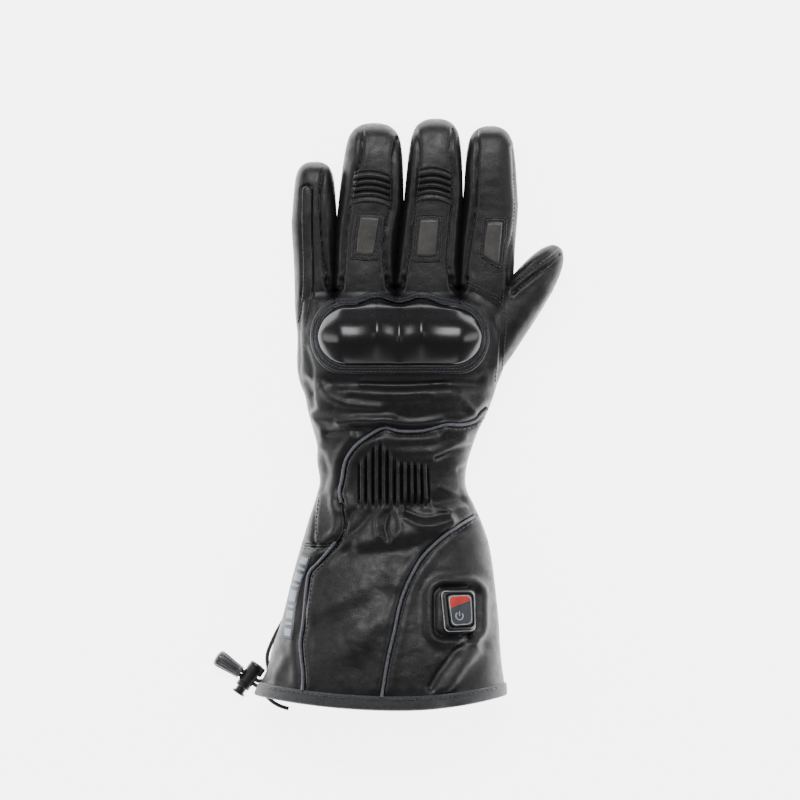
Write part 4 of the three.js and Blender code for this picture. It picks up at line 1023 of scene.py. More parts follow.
def stall(u, v, rows, half, height, middle, lay, relief):
    """Points of a finger or thumb stall and the painted shade of its creases."""
    along, wide, top, belt = rows(v).T
    turn = STALL_TURNS(u)
    c, n = np.cos(turn), np.sin(turn)
    across = power(c, 2 / STALL_SQUARE)
    reach = half(along) * np.maximum(wide, 0)
    top, belt = top * height, belt * height
    rise = np.zeros_like(across)
    for measuring in (True, False):
        up = np.where(n >= 0, top + rise - belt, belt + UNDER_SINK)
        z = np.maximum(0, belt + up * power(n, 2 / STALL_SQUARE))
        points = lay(middle(along), across * (reach + rise), along, z)
        if measuring:
            rise, crease = relief(points, across, along)
            rise = rise * smooth_step(n / 0.3) * smooth_step(reach / 5)
            crease = crease * smooth_step(n / 0.1)
    return points, crease


def finger_relief(name):
    """The folds, seams and strip of one finger's leather."""
    seams = [finger_plan(name, curve_through(line)) for line in FINGER_SEAMS[name]]
    band = LITTLE_BAND if name == "little" else None

    def relief(points, across, along):
        x, y = points[:, 0], points[:, 1]
        rise = 0.35 * wrinkles(points, 14, (1, 1.6)) + 0.16 * wrinkles(points + 50, 5, (1.7, 1))
        rise = rise * smooth_step(along / 0.06)
        # crease: painted shade in the seams' grooves and beside the strip
        crease = np.zeros_like(x)
        for line in seams + list(WEBS.values()):
            away = distance_to(line, x, y)
            rise = rise - 1.3 * groove(away, 1.0) + 0.35 * groove(away - 3, 1.6)
            crease = np.maximum(crease, groove(away, 0.75))
        if band is not None:
            away = distance_to(band, x, y)
            rise = rise + 0.5 * smooth_step((3.0 - away) / 0.6) - 0.9 * groove(away - 3.2, 0.7)
            crease = np.maximum(crease, groove(away - 3.2, 0.6))
        return rise, crease

    return relief


# Middle line of the double-stitched strip along the little finger's outer side
LITTLE_BAND = curve_through(
    [(-54, 121), (-54.2, 110), (-54, 95), (-53.6, 80), (-53.6, 66), (-54.5, 56), (-57, 44)]
)


THUMB_SEAMS = [
    curve_through([(91, 88), (80, 79.5), (70, 71.8), (63, 66)]),
    curve_through([(92, 83.5), (81, 74.7), (71, 67), (65, 62)]),
    curve_through([(88, 60), (79, 45), (70, 29), (64, 20)]),
]


def thumb_relief(points, across, along):
    """The folds and seams of the thumb's leather."""
    x, y = points[:, 0], points[:, 1]
    rise = 0.4 * wrinkles(points, 14, (1, 1.4)) + 0.18 * wrinkles(points + 30, 5, (1, 1.5))
    # crease: painted shade in the seams' grooves
    crease = np.zeros_like(x)
    for line in THUMB_SEAMS:
        away = distance_to(line, x, y)
        rise = rise - 1.1 * groove(away, 0.9) + 0.3 * groove(away - 2.6, 1.4)
        crease = np.maximum(crease, groove(away, 0.7))
    return rise, crease


def thumb_lay(travel, side, along, z):
    """Lays the thumb's skin along its leaning middle line."""
    back = (-math.sin(THUMB_LEAN), -math.cos(THUMB_LEAN))
    right = (math.cos(THUMB_LEAN), -math.sin(THUMB_LEAN))
    x = THUMB_TIP[0] + back[0] * travel + right[0] * side
    y = THUMB_TIP[1] + back[1] * travel + right[1] * side
    return np.column_stack([x, y, z])


def back_height(x, y):
    """Height of the back's smooth form with its broad folds."""
    along = (FRONT_Y - y) / HAND_LENGTH
    little, thumb, top, _, square = trunk_section(along)
    across = np.clip(x / np.where(x < 0, little, thumb), -1, 1)
    crown = top + fold_rise(across, along) - SEAM_HEIGHT
    return SEAM_HEIGHT + crown * (1 - np.abs(across) ** square) ** (1 / square)


# Guard: bumps over the knuckles as place, width, rise, bulge of the upper edge
KNUCKLES = [
    (-0.74, 0.13, 0.16, 0.02), (-0.28, 0.19, 0.4, 0.12), (0.26, 0.19, 0.4, 0.12),
    (0.76, 0.14, 0.16, -0.02),
]


def guard_edges(place, margin):
    """The guard's lower and upper edge, with its rounded ends."""
    half = GUARD_LENGTH / 2 + margin
    corner = 0.5 * GUARD_WIDTH
    past = np.clip((np.abs(place) * half - (half - corner)) / corner, 0, 1)
    squeeze = 1 - np.sqrt(1 - past**2)
    bulge = sum(edge * np.exp(-(((place - at) / width) ** 2)) for at, width, _, edge in KNUCKLES)
    upper = GUARD_WIDTH * (0.5 + bulge) + margin
    lower = -GUARD_WIDTH * 0.5 - margin
    return mix(lower, (lower + upper) / 2, squeeze), mix(upper, (lower + upper) / 2, squeeze)


def guard_outline(margin, step=0.8):
    """The guard's outline, grown by a margin, round its whole edge."""
    place = np.sin(np.linspace(-np.pi / 2, np.pi / 2, 160))
    low, high = guard_edges(place, margin)
    x = place * (GUARD_LENGTH / 2 + margin)
    there, back = (np.column_stack([x, GUARD_Y + edge]) for edge in (low, high))
    return spaced(np.vstack([there, back[::-1][1:]]), step)


def guard_place(u, v):
    """The guard's skin: a bulging bar with a bump over each knuckle."""
    place = np.sin((u - 0.5) * np.pi) * 0.9995
    share = 0.5 - 0.5 * np.cos(np.pi * v)
    low, high = guard_edges(place, 0)
    x, y = place * GUARD_LENGTH / 2, GUARD_Y + mix(low, high, share)
    ends = np.clip(1 - np.abs(place) ** 5, 0, 1) ** 0.35
    fall = np.clip((share - GUARD_CREST) / (1 - GUARD_CREST), 0, 1)
    climb = 1 - np.abs(1 - share / GUARD_CREST) ** 2.4
    crest = np.where(share < GUARD_CREST, climb, np.cos(fall * np.pi / 2) ** 0.7)
    swell = 0.8 - 0.2 * np.exp(-np.abs(place + 0.01) / 0.06)
    for at, width, rise, _ in KNUCKLES:
        away = np.abs(place - at)
        if rise > 0.2:
            gable = np.exp(-(np.sqrt(away**2 + 0.012**2) - 0.012) / 0.14)
            swell = swell + rise * gable * smooth_step(share / 0.55)
        else:
            swell = swell + rise * np.exp(-((away / width) ** 2))
    edge = GUARD_EDGE * np.clip(np.minimum(share, 1 - share) * 18, 0, 1) ** 0.5
    return np.column_stack([x, y, back_height(x, y) + edge + GUARD_RISE * swell * crest * ends])


PATCH_BARREL = 0.13  # how much rounder than straight a patch's edges are
PATCH_SINK = 0.35  # how far a patch's edge lies in the leather


def patch_place(name, corners, growth, rise, edge):
    """A soft-edged patch over four corners on a finger, grown by a share and raised in its middle."""

    def place(u, v):
        a, b = 2 * u - 1, 2 * v - 1
        s = a * np.sqrt(1 - PATCH_BARREL * b**2) * growth
        t = b * np.sqrt(1 - PATCH_BARREL * a**2) * growth
        c = np.asarray(corners, float)
        su, tv = (s + 1) / 2, (t + 1) / 2
        across, along = (mix(mix(c[0][k], c[1][k], su), mix(c[3][k], c[2][k], su), tv) for k in (0, 1))
        off = rise * smooth_step((1 - np.maximum(np.abs(a), np.abs(b))) / edge) - PATCH_SINK
        return finger_point(name, across, along, off)

    return place


def trunk_spot(across, along, off=0.0):
    """A point of the back's smooth form."""
    little, thumb, top, _, square = (float(s) for s in trunk_section(np.array(along)))
    reach = little if across < 0 else thumb
    share = min(1, abs(across) * reach / (reach + off))
    crown = top + off + float(fold_rise(np.array([across]), np.array([along]))[0]) - SEAM_HEIGHT
    z = SEAM_HEIGHT + crown * (1 - share**square) ** (1 / square)
    return Vector((across * reach, float(trunk_y(np.array(across), np.array(along))), z))


def button_frame():
    """The button's seat: its middle on the cuff, with +Z standing off."""
    step = 0.03
    across, along = BUTTON_ACROSS, BUTTON_ALONG
    seat = trunk_spot(across, along)
    run_x = trunk_spot(across + step, along) - trunk_spot(across - step, along)
    run_y = trunk_spot(across, along - step) - trunk_spot(across, along + step)
    up = run_x.cross(run_y).normalized()
    right = (Vector((1, 0, 0)) - up * up.x).normalized()
    turn = Matrix((right, up.cross(right), up)).transposed().to_4x4()
    return Matrix.Translation(seat) @ turn


def rounded(corners, step, blur):
    """A closed outline through the corners, in even steps and blurred so that the corners are round."""
    dense = spaced(np.vstack([corners, corners[:1]]), step)[:-1]
    return sum(np.roll(dense, k, axis=0) for k in range(-blur, blur + 1)) / (2 * blur + 1)


def button_outline(margin, count=96):
    """The button's rounded four-sided outline, grown by a margin."""
    corners = [(-0.44, 0.44), (0.46, 0.5), (0.5, -0.42), (-0.3, -0.5)]
    line = [
        (x * BUTTON_WIDTH + np.sign(x) * margin, y * BUTTON_LENGTH + np.sign(y) * margin)
        for x, y in corners
    ]
    soft = rounded(line, 0.1, 31)
    picks = np.linspace(0, len(soft), count, endpoint=False).astype(int)
    return soft[picks]


def moulding(profile, count=96, band=False):
    """A form round the button's outline from [margin, height] points; a band is open in its middle."""
    profile = profile + profile[:1] if band else profile
    rings = [np.column_stack([button_outline(m, count), np.full(count, h)]) for m, h in profile]

    def place(u, v):
        k = np.rint(u * count).astype(int) % count
        row = np.rint(v * (len(profile) - 1)).astype(int)
        return np.array([rings[r][i] for r, i in zip(row, k)])

    bm = drape(count, len(profile) - 1, place)
    bmesh.ops.scale(bm, vec=(1 / MM,) * 3, verts=bm.verts)
    bmesh.ops.remove_doubles(bm, verts=bm.verts, dist=1e-3)
    return cap_ends(bm)


def cap_ends(bm):
    """Fills open ends and points the faces outwards."""
    bmesh.ops.holes_fill(bm, edges=[e for e in bm.edges if e.is_boundary], sides=0)
    bmesh.ops.recalc_face_normals(bm, faces=bm.faces)
    return bm


def lock_point(along, across):
    """[x, y] of a place on the cord lock, along and across its barrel."""
    side = LOCK_TURN - math.pi / 2
    return (
        LOCK_PLACE[0] + along * math.cos(LOCK_TURN) + across * math.cos(side),
        LOCK_PLACE[1] + along * math.sin(LOCK_TURN) + across * math.sin(side),
    )


def cord_route(route, shift):
    """A strand's route through its slot in the lock, into the end piece."""
    radius = LOCK_DIAMETER / 2
    depth = END_FROM + END_LENGTH * 0.45 - 0.6
    ends = []
    for k, across in enumerate((-radius - 0.3, 0, radius, depth)):
        x, y = lock_point(SLOT_PLACE + shift, across)
        ends.append((x, y, LOCK_Z if k < 2 else LOCK_Z + 0.25))
    return spaced(curve_through(list(route) + ends, 10), 0.6)


STITCH_POINTS = 8
STITCH_LIFT = 0.12


def thread(line, pitch, radius):
    """A row of stitches on the leather along a line of [x, y] points."""
    row = spaced(np.asarray(line, float)[:, :2], pitch / STITCH_POINTS)
    wave = np.cos(2 * np.pi * (np.arange(len(row)) / STITCH_POINTS))
    sink = (radius * 1.5 + STITCH_LIFT) * smooth_step((-wave - 0.25) / 0.6)
    path = dropped(row, STITCH_LIFT + radius * 0.4 - sink)
    steps = np.linalg.norm(np.diff(path, axis=0), axis=1)
    runs = np.split(path, np.where(steps > 3)[0] + 1)
    bm = bmesh.new()
    for run in runs:
        if len(run) > 6:
            add_in(bm, tube(run, radius, 6))
    return bm


def threads(name, lines, pitch=None, radius=None):
    """All the rows of stitches of one seam as one piece."""
    sizes = bpy.context.scene.glove_sizes
    pitch = pitch or sizes.stitch_pitch / MM
    radius = radius or sizes.thread_width / MM / 2
    bm = bmesh.new()
    for line in lines:
        add_in(bm, thread(line, pitch, radius))
    return piece(name, bm, "bonded_nylon_thread")


def mark_skin(obj):
    """Lets later pieces and stitches lie on this one."""
    obj["glove_skin"] = True
    SKINS.clear()
    return obj


def seam_on_back(seam):
    """A seam as evenly spaced [x, y] points, kept to the back and clear of the hem's binding."""
    line = curve_through(seam, 24)
    line = line[(np.abs(line[:, 0]) <= 0.99) & (line[:, 1] < 2 - (BINDING_WIDTH - 0.5) / CUFF_LENGTH)]
    return spaced(plan(line), 0.8)


def cord_on(line, radius):
    """The middle line of a cord that lies in a seam, smoothed over the leather's small dips."""
    path = dropped(line)
    soft = np.convolve(np.pad(path[:, 2], 5, mode="edge"), np.ones(11) / 11, mode="valid")
    path[:, 2] = np.maximum(path[:, 2], soft) + 0.75 * radius
    path[:, 2] = np.convolve(np.pad(path[:, 2], 2, mode="edge"), np.ones(5) / 5, mode="valid")
    return path


# Settings


def length(name, size, words):
    """A length that the user may change, in metres."""
    return FloatProperty(name=name, description=words, default=size, unit="LENGTH")


class GLOVE_PG_sizes(bpy.types.PropertyGroup):
    """Sizes that the user may change"""

    columns: IntProperty(name="Columns", description="Faces across the back", default=280, min=60)
    rows: IntProperty(name="Rows", description="Faces along the back", default=280, min=60)
    wall: length("Leather", 0.0011, "Thickness of the leather")
    stitch_pitch: length("Stitch pitch", 0.0027, "Length of one stitch with its gap")
    thread_width: length("Thread", 0.0006, "Width of the sewing thread")
    piping_width: length("Piping", 0.0019, "Width of the piping in the seams")
    camera_height: length("Camera height", 6.0, "Camera above the floor")
    view_width: length("View width", 0.464, "Width of floor that the camera sees")


def colour(name, code, words):
    """A colour that the user may change."""
    return FloatVectorProperty(
        name=name, description=words, default=linear(code), subtype="COLOR", size=3, min=0, max=1
    )


class GLOVE_PG_finishes(bpy.types.PropertyGroup):
    """Colours that the user may change"""

    leather_dark: colour("Leather, dark", "#0b0b0d", "The leather's darker tone")
    leather_light: colour("Leather, light", "#131316", "The leather's lighter tone")
    piping: colour("Piping", "#5f6169", "The piping's lighter yarn")
    floor: colour("Floor", "#fbfbfb", "The floor")


# Operators


FLOOR_GLOW = 5.0  # keeps the floor near white under low lights
WORLD_LIGHT = 0.22
# Each softbox: place, width and height in metres, power in watts
SOFTBOXES = [
    ((0.0, 1.15, 1.75), 1.5, 0.6, 36),
    ((-1.9, 0.2, 1.0), 0.7, 1.5, 13),
    ((1.9, 0.3, 1.0), 0.7, 1.5, 13),
    ((0.0, -2.2, 1.0), 1.6, 0.6, 8),
]


class GLOVE_OT_stage(bpy.types.Operator):
    """Adds the pale floor, the soft studio lights and the camera"""

    bl_idname = "glove.stage"
    bl_label = "Stage"

    def execute(self, context):
        sizes = context.scene.glove_sizes
        bm = bmesh.new()
        bmesh.ops.create_grid(bm, x_segments=1, y_segments=1, size=6)
        mesh = bpy.data.meshes.new("floor")
        bm.to_mesh(mesh)
        bm.free()
        floor = bpy.data.objects.new("floor", mesh)
        context.scene.collection.objects.link(floor)
        matt, _, _ = finish(
            "matt_white_floor", Roughness=0.9, Base_Color=(*context.scene.glove_finishes.floor, 1),
            Emission_Color=(1, 1, 1, 1), Emission_Strength=FLOOR_GLOW,
        )
        mesh.materials.append(matt)

        camera = bpy.data.cameras.new("camera")
        camera.sensor_width = 36
        camera.lens = 36 * sizes.camera_height / sizes.view_width
        camera.clip_end = 40
        viewer = bpy.data.objects.new("camera", camera)
        viewer.location = (0, 0, sizes.camera_height)
        context.scene.collection.objects.link(viewer)
        context.scene.camera = viewer

        for number, (spot, width, height, watts) in enumerate(SOFTBOXES):
            data = bpy.data.lights.new(f"softbox_{number}", "AREA")
            data.shape = "RECTANGLE"
            data.size = width
            data.size_y = height
            data.energy = watts
            lamp = bpy.data.objects.new(f"softbox_{number}", data)
            lamp.location = spot
            lamp.rotation_euler = (-Vector(spot)).to_track_quat("-Z", "Y").to_euler()
            context.scene.collection.objects.link(lamp)
        world = bpy.data.worlds.new("studio")
        world.use_nodes = True
        background = world.node_tree.nodes["Background"]
        background.inputs["Color"].default_value = (1, 1, 1, 1)
        background.inputs["Strength"].default_value = WORLD_LIGHT
        context.scene.world = world
        return {"FINISHED"}


class GLOVE_OT_drawcords(bpy.types.Operator):
    """Lays the two strands of the hem's drawcord, with their lock and end piece"""

    bl_idname = "glove.drawcords"
    bl_label = "Drawcords"

    # The end piece's outline: distance from its small end, and share of its full radius
    BELL = [
        (0.0, 0.68), (0.35, 0.74), (4.5, 0.8), (9.5, 0.92), (13.8, 1.0), (15.6, 0.93), (16.6, 0.66),
        (17.0, 0.3),
    ]

    def execute(self, context):
        self.lock()
        plunger = self.plunger()
        end = self.end_piece()
        for name, route, shift in (
            ("upper_drawcord", UPPER_CORD, -CORD_PITCH / 2),
            ("lower_drawcord", LOWER_CORD, CORD_PITCH / 2),
        ):
            path = cord_route(route, shift)
            bar = tube(capped(path, CORD_DIAMETER / 2), CORD_DIAMETER / 2, 14)
            strand = piece(name + "_strand", bar, "braided_elastic", [name])
        return {"FINISHED"}

    def lock(self):
        """The lock's turned barrel with its ear and the collars of its slots."""
        radius, half = LOCK_DIAMETER / 2, LOCK_LENGTH / 2
        profile = [
            (-half + 1.5, 0), (-half + 1.5, radius - 0.9), (half, radius - 0.9), (half, radius - 0.35),
            (half - 0.35, radius), (half - 2.6, radius), (half - 2.9, radius - 0.35),
            (half - 3.3, radius - 0.35), (half - 3.6, radius), (-half + 2.4, radius),
            (-half + 2.1, radius - 0.3), (-half + 1.8, radius - 0.3), (-half + 1.5, radius),
            (-half + 0.8, radius - 0.1), (-half + 0.2, radius - 0.6), (-half, radius - 1.3), (-half, 0),
        ]
        barrel = turned(profile)
        slot = CORD_PITCH + CORD_DIAMETER + 0.6
        for side in (1, -1):
            spot = (SLOT_PLACE, side * (radius - 0.35), 0)
            add_in(barrel, self.block((slot + 1.4, 1.1, CORD_DIAMETER + 2.0), 0.4, 2, spot))
        add_in(barrel, self.block((5.5, 3.1, 5.0), 0.5, 3, (-half + 3.25, radius + 0.05, 0)))
        put(barrel, laid_flat(LOCK_PLACE, LOCK_Z, LOCK_TURN))
        return piece(
            "cord_lock_barrel", barrel, "moulded_nylon", ["cord_lock"], sharp=35,
        )

    def block(self, size, bevel, segments, spot):
        """A block with rounded edges at a spot on the lock."""
        bm = bmesh.new()
        bmesh.ops.create_cube(bm, size=1)
        bmesh.ops.scale(bm, vec=size, verts=bm.verts)
        bmesh.ops.bevel(
            bm, geom=bm.edges[:], offset=bevel, offset_type="OFFSET", segments=segments, profile=0.5,
            affect="EDGES", material=-1,
        )
        bmesh.ops.translate(bm, vec=spot, verts=bm.verts)
        return bm

    def plunger(self):
        """The stem and the head that the finger presses."""
        radius, half = LOCK_DIAMETER / 2, LOCK_LENGTH / 2
        start = half + 2.9
        stem = radius - 1.3
        # The stem stays clear of the cords when it is pressed
        inner = SLOT_PLACE + (CORD_PITCH + CORD_DIAMETER) / 2 + PLUNGER_TRAVEL + 0.3
        profile = [
            (inner, 0), (inner, stem), (start, stem), (start, radius - 0.7), (start + 0.3, radius - 0.35),
            (start + 1.0, radius - 0.3), (start + 1.4, radius - 0.6), (start + 1.6, radius - 1.2),
            (start + 1.6, 0),
        ]
        bm = turned(profile)
        put(bm, laid_flat(LOCK_PLACE, LOCK_Z, LOCK_TURN))
        return piece(
            "plunger_button", bm, "moulded_nylon", ["lock_plunger"], "plunger",
            sharp=35,
        )

    def end_piece(self):
        """The bell-shaped end with its flutes, flat where it rests."""
        r = END_DIAMETER / 2
        shape = curve_through(self.BELL, 6)
        profile = [(0.0, 0.0), (0.0, 0.6 * r)] + [(a, s * r) for a, s in shape] + [(END_LENGTH, 0)]
        bm = turned(profile, 96)
        for v in bm.verts:
            turn = math.atan2(v.co.z, v.co.y)
            fade = float(smooth_step((v.co.x - 0.8) / 2) * smooth_step((15.4 - v.co.x) / 2))
            flute = 1 - 0.075 * fade * max(0, math.cos(12 * turn)) ** 2
            v.co.y *= flute
            v.co.z = max(v.co.z * flute, -r + 0.35)
        put(bm, laid_flat(lock_point(SLOT_PLACE, END_FROM), r - 0.35, LOCK_TURN - math.pi / 2))
        return piece(
            "fluted_cord_end", bm, "clear_grey_nylon", ["cord_end"], sharp=45,
        )


class GLOVE_OT_panels(bpy.types.Operator):
    """Makes the leather of the hand and cuff: the back's panels and the palm's"""

    bl_idname = "glove.panels"
    bl_label = "Leather panels"

    def execute(self, context):
        sizes = context.scene.glove_sizes
        wall = sizes.wall / MM
        sheet = face_up(back_sheet(sizes.columns, sizes.rows))
        middles = np.array([f.calc_center_median()[:2] for f in sheet.faces]) / MM
        x, y = middles.T
        upper = plan(curve_through(UPPER_SEAM + SIDE_LINK[1:], 4))
        lower = SEAM_LINES["lower"]
        side = SEAM_LINES["side"]
        in_hand = within(
            [*upper, (-FAR, upper[-1][1]), (-FAR, FAR), (FAR, FAR), (FAR, upper[0][1])], x, y,
        )
        in_flap = within(
            [(FAR, lower[0][1]), *lower, (lower[-1][0], -FAR), (FAR, -FAR)], x, y,
        ) & ~in_hand
        in_side = within(
            [*side, (side[-1][0], -FAR), (-FAR, -FAR), (-FAR, FAR), (side[0][0], FAR)], x, y,
        ) & ~in_hand
        panels = {
            "hand_back": in_hand, "cuff_flap": in_flap, "cuff_side": in_side & ~in_flap,
            "cuff_back": ~(in_hand | in_flap | in_side),
        }
        for name, keep in panels.items():
            hide = panel(sheet, keep)
            mark_skin(piece(name + "_leather", hide, "aniline_cowhide", [name], wall=wall))
        sheet.free()
        under = face_up(under_sheet(84, sizes.rows * 2 // 3), -1)
        palm_ends = mix(WRIST_Y, WRIST_Y - CUFF_LENGTH, 0.12)
        ahead = np.array([f.calc_center_median().y for f in under.faces]) / MM > palm_ends
        for name, keep in (("hand_palm", ahead), ("cuff_palm", ~ahead)):
            hide = panel(under, keep)
            piece(name + "_leather", hide, "aniline_cowhide", [name], wall=wall)
        under.free()
        return {"FINISHED"}


class GLOVE_OT_fingers(bpy.types.Operator):
    """Makes the four finger stalls"""

    bl_idname = "glove.fingers"
    bl_label = "Fingers"

    def execute(self, context):
        for name in FINGERS:
            self.finger(name)
        return {"FINISHED"}

    def finger(self, name):
        """One stall, round all sides and closed at its tip."""
        length, tall = FINGERS[name][3:]
        height = FINGER_HEIGHT * tall
        rows = even_rows(FINGER_ROWS, length * HAND_LENGTH, 16, height)
        relief = finger_relief(name)

        def middle(along):
            return finger_section(name, along)[0]

        def half(along):
            return finger_section(name, along)[1]

        def lay(centre, side, along, z):
            return np.column_stack([centre + side, finger_section(name, along)[2], z])

        def place(u, v):
            return stall(u, v, rows, half, height, middle, lay, relief)

        bm = cap_ends(close_up(drape(150, 130, place)))
        mark_skin(piece(name + "_finger_leather", bm, "aniline_cowhide", [name + "_finger"]))


class GLOVE_OT_thumb(bpy.types.Operator):
    """Makes the thumb's stall"""

    bl_idname = "glove.thumb"
    bl_label = "Thumb"

    def execute(self, context):
        rows = even_rows(THUMB_ROWS, THUMB_LENGTH, THUMB_WIDTH / 2, THUMB_HEIGHT)

        def thumb(u, v):
            return stall(
                u, v, rows, lambda a: np.full_like(a, THUMB_WIDTH / 2), THUMB_HEIGHT,
                lambda a: a * THUMB_LENGTH, thumb_lay, thumb_relief,
            )

        bm = cap_ends(close_up(drape(140, 150, thumb)))
        mark_skin(piece("thumb_leather", bm, "aniline_cowhide", ["thumb"]))
        return {"FINISHED"}


class GLOVE_OT_lining(bpy.types.Operator):
    """Makes the brushed lining inside the cuff and hand"""

    bl_idname = "glove.lining"
    bl_label = "Lining"

    def execute(self, context):
        def place(u, v):
            along = mix(2.0, 0.12, np.minimum(v / 0.94, 1))
            closing = 1 - smooth_step((v - 0.94) / 0.06)
            turn = np.where(u < 0.55, TOP_TURNS(u / 0.55), UNDER_TURNS((u - 0.55) / 0.45))
            little, thumb, top, lift, square = trunk_section(along)
            n = np.sin(turn)
            across = power(np.cos(turn), 2 / np.where(n >= 0, square, UNDER_SQUARE))
            reach = np.where(across < 0, little, thumb) - LINING_IN[0]
            up = SEAM_HEIGHT + (top - LINING_IN[1] - SEAM_HEIGHT) * np.maximum(n, 0) ** (2 / square)
            down = np.maximum(lift + 1.8, under_drop(np.minimum(n, 0)))
            z = np.where(n >= 0, up, down)
            y = trunk_y(across, along)
            return np.column_stack([across * reach * closing, y, mix(SEAM_HEIGHT, z, closing)])

        bm = close_up(drape(120, 90, place))
        bmesh.ops.reverse_faces(bm, faces=bm.faces)
        piece("fleece_lining", bm, "brushed_fleece", wall=0.4)
        return {"FINISHED"}


class GLOVE_OT_guard(bpy.types.Operator):
    """Makes the hard knuckle guard and the leather rim that holds it"""

    bl_idname = "glove.guard"
    bl_label = "Knuckle guard"

    # The rim's section, from the guard outwards: share of its width, and height off the leather
    RIM = [(0, 1.6), (0.1, 1.8), (0.25, 1.5), (0.5, 1.25), (0.8, 1.15), (0.92, 0.8), (1, -0.5)]

    def execute(self, context):
        bm = face_up(drape(220, 90, guard_place))
        edge = [e for e in bm.edges if e.is_boundary]
        skirt = bmesh.ops.extrude_edge_only(bm, edges=edge)["geom"]
        bmesh.ops.translate(
            bm, vec=(0, 0, -4 * MM), verts=[v for v in skirt if isinstance(v, bmesh.types.BMVert)],
        )
        shell = cap_ends(close_up(bm))
        piece("knuckle_guard_shell", shell, "polished_thermoplastic", ["knuckle_guard"])

        count, last = 320, 12
        outlines = [guard_outline(m) for m in np.linspace(-0.6, 4.4, last + 1)]
        lengths = [np.linalg.norm(np.diff(line, axis=0), axis=1).sum() for line in outlines]
        outlines = [spaced(line, length / count) for line, length in zip(outlines, lengths)]
        places, heights = np.array(self.RIM).T
        lifts = np.interp(np.linspace(0, 1, last + 1), places, heights)
        rings = [dropped(line, lift) for line, lift in zip(outlines, lifts)]

        def place(u, v):
            ring = np.rint(v * last).astype(int)
            spot = np.rint(u * count).astype(int)
            return np.array([rings[r][min(s, len(rings[r]) - 1)] for r, s in zip(ring, spot)])

        rim = face_up(close_up(drape(count, last, place)))
        mark_skin(piece("guard_rim_leather", rim, "rim_cowhide", ["guard_rim"]))
        rows = [guard_outline(m)[:-1] for m in (1.15, 2.85)]
        threads("guard_stitches", rows, pitch=2.3)
        return {"FINISHED"}


class GLOVE_OT_patches(bpy.types.Operator):
    """Makes the fingers' reinforcing pads with their frames, and the stretch ribs"""

    bl_idname = "glove.patches"
    bl_label = "Finger pads and ribs"

    def execute(self, context):
        rows = []
        for name, (pad, frame_corners) in PATCHES.items():
            border = face_up(drape(60, 70, patch_place(name, frame_corners, 1.0, 0.95, 0.1)))
            frame = [name + "_pad_frame"]
            mark_skin(piece(name + "_pad_border", border, "aniline_cowhide", frame))
            inner = face_up(drape(50, 60, patch_place(name, pad, 1.12, 2.3, 0.22)))
            filled = [name + "_pad"]
            cushion = piece(name + "_pad_cushion", inner, "smooth_goatskin", filled)
            rows += [self.around(name, pad, margin) for margin in (1.0, 2.3)]
        self.ribs()
        threads("pad_stitches", rows, pitch=2.0, radius=0.26)
        return {"FINISHED"}

    def around(self, name, corners, margin):
        """A line round a pad, a margin outside it."""
        turn = np.linspace(0, 1, 160)
        line = finger_plan(name, corners)
        middle = line.mean(axis=0)
        soft = rounded(line + np.sign(line - middle) * margin, 0.2, 6)
        return soft[(turn * (len(soft) - 1)).astype(int)][::2]

    def rib_arch(self, u):
        """How the ribs bow over the finger."""
        return 0.03 * (1 - (2 * u - 1) ** 2) - 0.018 * (u - 0.5)

    def ribs(self):
        """The accordion panels over the finger joints."""
        rows = []
        for name in ("ring", "middle"):

            def place(u, v):
                across = mix(-RIB_REACH, RIB_REACH, u)
                along = mix(0.475, 0.69, v) + self.rib_arch(u)
                band = np.abs(np.sin(np.pi * (v * 5.6))) ** 0.7
                size = np.where(v < 0.2, 0.5, np.where(v > 0.86, 0.45, 1.7))
                edge = smooth_step(np.minimum(u, 1 - u) / 0.09)
                edge = edge * smooth_step(np.minimum(v, 1 - v) / 0.03)
                off = -0.5 + edge * (0.75 + size * band)
                # Painted shade in the folds between the ribs
                crease = (1 - band) ** 3 * edge
                return finger_point(name, across, along, off), crease

            folded = face_up(drape(56, 120, place))
            nodes = [name + "_ribs"]
            mark_skin(piece(name + "_stretch_ribs", folded, "aniline_cowhide", nodes))
            for low in (0.492, 0.51):
                u = np.linspace(0.05, 0.95, 40)
                line = finger_point(name, mix(-RIB_REACH, RIB_REACH, u), low + self.rib_arch(u))
                rows.append(line[:, :2])
        threads("rib_stitches", rows, pitch=1.8, radius=0.26)


class GLOVE_OT_piping(bpy.types.Operator):
    """Lays the piping in the three seams of the back, and the welts of the sides"""

    bl_idname = "glove.piping"
    bl_label = "Piping"

    def execute(self, context):
        radius = context.scene.glove_sizes.piping_width / MM / 2
        runs = {"upper": (UPPER_SEAM, 2.6), "side": (SIDE_SEAM, 2.4), "lower": (LOWER_SEAM, 2.4)}
        rows = []
        for name, (seam, beside_by) in runs.items():
            line = seam_on_back(seam)
            path = cord_on(line, radius)
            cord = tube(capped(path, radius), radius, 12)
            piece(name + "_piping_cord", cord, "woven_piping", [name + "_piping"])
            rows.append(beside(line, beside_by)[3:-3])
        link = seam_on_back(SIDE_LINK)
        piece("wrist_seam_fold", tube(dropped(link, 0.1), 0.75, 8), "aniline_cowhide")
        rows.append(beside(link, 1.9))
        threads("piping_stitches", rows)
        self.welts()
        return {"FINISHED"}

    def welts(self):
        """The rolled side seams, where the back meets the palm."""
        along = np.linspace(0.05, 1.96, 400)
        little, thumb, _, _, _ = trunk_section(along)
        y = trunk_y(np.ones_like(along), along)
        height = np.full_like(along, SEAM_HEIGHT)
        for name, x in (("little", -little), ("thumb", thumb)):
            path = spaced(np.column_stack([x - np.sign(x) * 0.5, y, height]), 0.9)
            piece(name + "_side_welt", tube(path, 0.6, 8), "aniline_cowhide")


